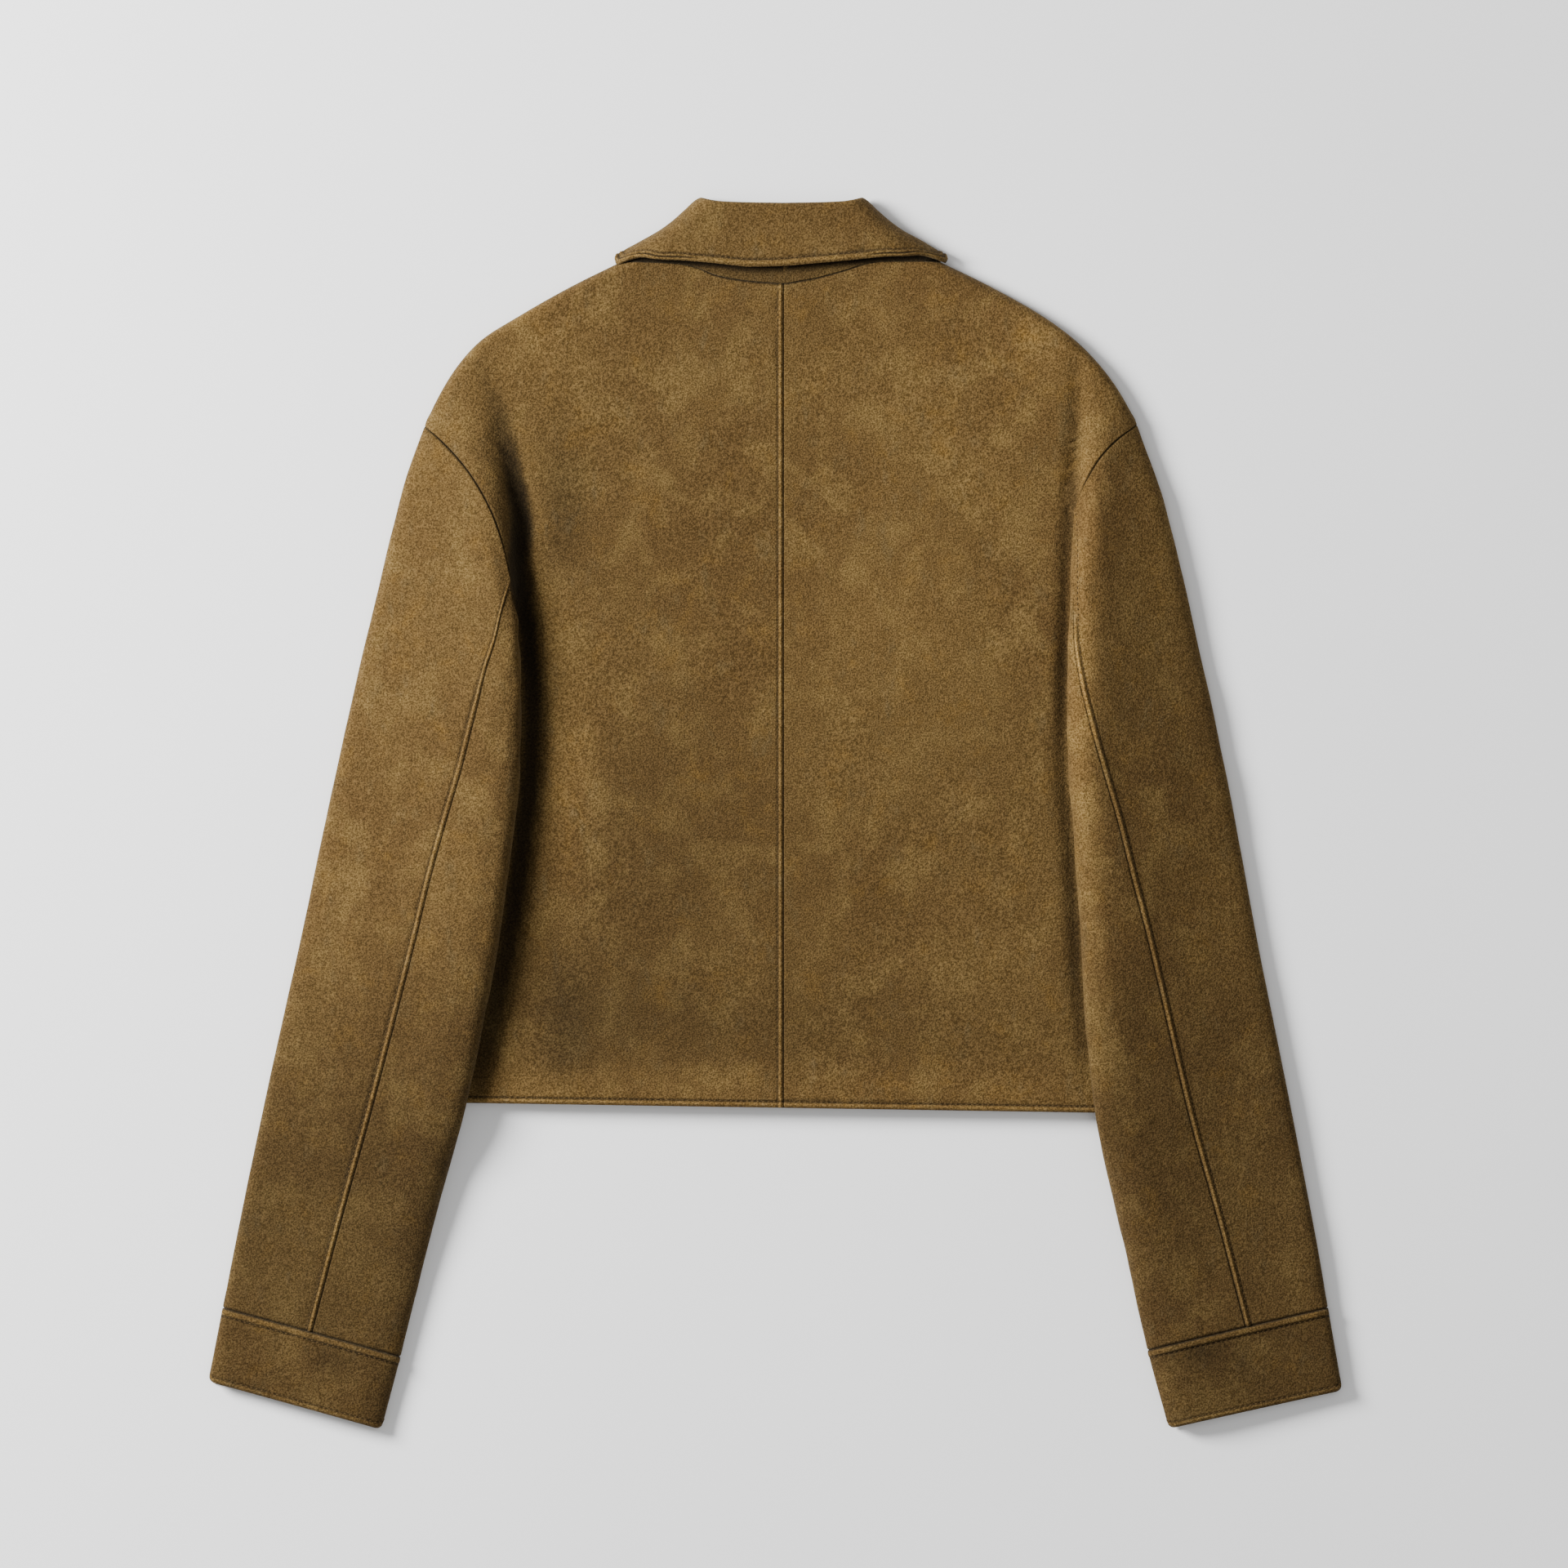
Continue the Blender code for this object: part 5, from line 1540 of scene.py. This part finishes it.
def cuff_piece(half, grid, material, thread):
    name = "cuff_" + half.side
    sheet = Sheet(*grid, step=CUFF_STEP, closed=True)
    round_corners(sheet)
    broad_tones(sheet, "cuff")
    band = smooth_step((sheet.top - BAND[0]) / BAND_SOFTNESS[0])
    band = band * smooth_step((BAND[1] - sheet.top) / BAND_SOFTNESS[1])
    sheet.relief += BAND_HEIGHT * band
    # a painted highlight on the raised band
    sheet.painted_light_and_shade += BAND_LIGHT * band
    ditch(sheet, sheet.top, "cuff")
    ditch(sheet, sheet.bottom, "rounded edge")
    welt(sheet, sheet.bottom, "cuff end")
    runs = (("top", "cuff band"), ("bottom", "cuff end"))
    for edge, where in runs:
        groove(sheet, getattr(sheet, edge), where)
    sheet.relief += unevenness(sheet, "cuff_")
    sheet.relief *= smooth_step((sheet.z() - CUFF_LOW) / CUFF_RISE)
    sheet.relief *= smooth_step((sheet.normals[..., 2] - CUFF_TURNED) / CUFF_TURN)
    lines = [sheet.line(edge, GROOVES[where][0]) for edge, where in runs]
    return build(name, sheet, material), stitches(name, lines, thread)


def sleeve_pieces(half, material, cuff_material, thread):
    grids = sleeve(half)
    cuff = grids.pop("cuff_")
    made = [sleeve_piece(half, stem, grid, material, thread) for stem, grid in grids.items()]
    return made + [cuff_piece(half, cuff, cuff_material, thread)]


# ---- collar

FALL_STEP = 2.0
# the stand's seam allowance, tucked in under the back and the fronts
TUCK_SHARE = 0.04
TUCK_DEPTH = 2.0
# the stand's shade: all over, more under the fall's loose edge, and how fast that fades below it
STAND_SHADE = 0.3
FALL_SHADE = 1.7
FALL_SHADE_REACH = 2.6
# how far the fall's loose edge droops towards its ends, and how far its corner stands out
FALL_DROOP = (
    # out, left, right
    (105.0, 8.0, 8.0),
    (97.0, 7.0, 6.0),
    (87.0, 4.2, 4.6),
    (76.0, 4.2, 5.4),
    (58.0, 1.8, 3.5),
    (35.0, 0.0, 1.5),
    (0.0, 0.0, 0.0),
)
DROOP_REACH = 9.0
DROOP_LOW = 2.0
DROOP_RISE = 7.0
CORNER_OUT = 4.0
CORNER_START = 83.0
CORNER_RUN = 13.0
# the fall's two layers part into two edges near its ends
LAYER_START = 40.0
LAYER_RUN = 28.0
# below this the fall lies on the floor and has no raised relief
FALL_LYING = 3.0


def droop_fall(fall):
    """Lets the fall's loose edge hang down and out at its ends, where it covers the stand."""
    near_edge = hump(fall.top, 0.0, DROOP_REACH)
    above = smooth_step((fall.z() - DROOP_LOW) / DROOP_RISE)
    ends, shift = np.zeros(near_edge.shape), np.zeros(near_edge.shape + (2,))
    for half in map(Half, SIDES):
        out = fall.plan(half)[0]
        here = np.where(out > 0.0, near_edge, 0.0)
        shift[..., 0] += half.sign * CORNER_OUT * smooth_step((out - CORNER_START) / CORNER_RUN) * here
        shift[..., 1] -= read_table(FALL_DROOP, half.column, out) * here * above
        ends += smooth_step((out - LAYER_START) / LAYER_RUN)
    fall.points[..., :2] += shift
    return ends


def shade_stand(stand):
    """The stand is in the shade, most under the fall's loose edge."""
    stand.painted_light_and_shade -= STAND_SHADE
    for half in map(Half, SIDES):
        out, y = stand.plan(half)
        share = np.clip(out / half.collar_half_width(y), 0.0, 1.0)
        edge = read_table(FALL_EDGE, half.column, share) - read_table(FALL_DROOP, half.column, out)
        shade = FALL_SHADE * hump(np.maximum(edge - y, 0.0), 0.0, FALL_SHADE_REACH)
        stand.painted_light_and_shade -= np.where(out > 0.0, shade, 0.0)


def collar_pieces(material, thread):
    points, normals = round_the_neck(stand_quarter)
    tuck = points[:1] - (points[1:2] - points[:1]) * TUCK_SHARE - normals[:1] * TUCK_DEPTH
    stand = Sheet(np.concatenate([tuck, points]), np.concatenate([normals[:1], normals]), WALL)
    shade_stand(stand)
    fall = Sheet(*round_the_neck(fall_quarter), COLLAR_WALL, FALL_STEP)
    ends = droop_fall(fall)
    ditch(fall, fall.top, "fall")
    welt(fall, fall.top, "fall", 1.0 - ends)
    welt(fall, fall.top, "lower layer", ends)
    welt(fall, fall.top, "upper layer", ends)
    groove(fall, fall.top, "between the layers", ends)
    groove(fall, fall.top, "fall")
    fall.relief += unevenness(fall, "collar_fall")
    fall.relief = np.where(fall.z() < FALL_LYING, np.minimum(fall.relief, 0.0), fall.relief)
    sewn = [fall.line("top", GROOVES["fall"][0])]
    return [
        (build("collar_stand", stand, material), None),
        (build("collar_fall", fall, material), stitches("collar_fall", sewn, thread)),
    ]


# ---- the jacket

FLAT = {
    # piece: width and length of the cut and its area, in metres; what it rests on
    "back": (0.25, 0.53, 0.110, ["front"]),
    "front": (0.25, 0.53, 0.110, ["floor"]),
    "sleeve_upper": (0.10, 0.60, 0.0445, ["floor"]),
    "sleeve_under": (0.17, 0.60, 0.0710, ["back", "floor"]),
    "cuff": (0.235, 0.05, 0.0115, ["floor"]),
    "collar_stand": (0.42, 0.06, 0.0142, ["front"]),
    "collar_fall": (0.44, 0.09, 0.0198, ["front", "floor"]),
}


def declare(piece):
    """Works out a piece's kind, the size of its cut and what it lies on; these are not used further."""
    kind = piece.name.removesuffix("_suede")
    sides = [side for side in SIDES if kind.endswith(side)]
    for side in sides:
        kind = kind.removesuffix("_" + side)
    width, length, area, below = FLAT[kind]
    rests = []
    for name in below:
        rests += [name] if name == "floor" else [f"{name}_{side}_suede" for side in sides or SIDES]


# the cuffs' darker tone, and where each part's mottling is taken from
CUFF_TONE = 0.66
SLEEVE_SHIFT = 40.0
COLLAR_SHIFT = 80.0
CUFF_SHIFT = 120.0

make_camera()
make_light()
make_floor()
suede = suede_material("suede", 1.0, 0.0)
sleeve_suede = {
    side: suede_material("suede_sleeve_" + side, 1.0, SLEEVE_SHIFT + sign) for side, sign in SIDES.items()
}
collar_suede = suede_material("suede_collar", 1.0, COLLAR_SHIFT)
cuff_suede = suede_material("suede_cuff", CUFF_TONE, CUFF_SHIFT)
thread = cloudy_material("thread", THREAD_SHADER, THREAD_TWIST, THREAD_COLOURS)
everything = []
for half in map(Half, SIDES):
    everything.append(front_piece(half, suede, thread))
    everything.append(back_piece(half, suede, thread))
    everything += sleeve_pieces(half, sleeve_suede[half.side], cuff_suede, thread)
everything += collar_pieces(collar_suede, thread)
for piece, sewn in everything:
    declare(piece)
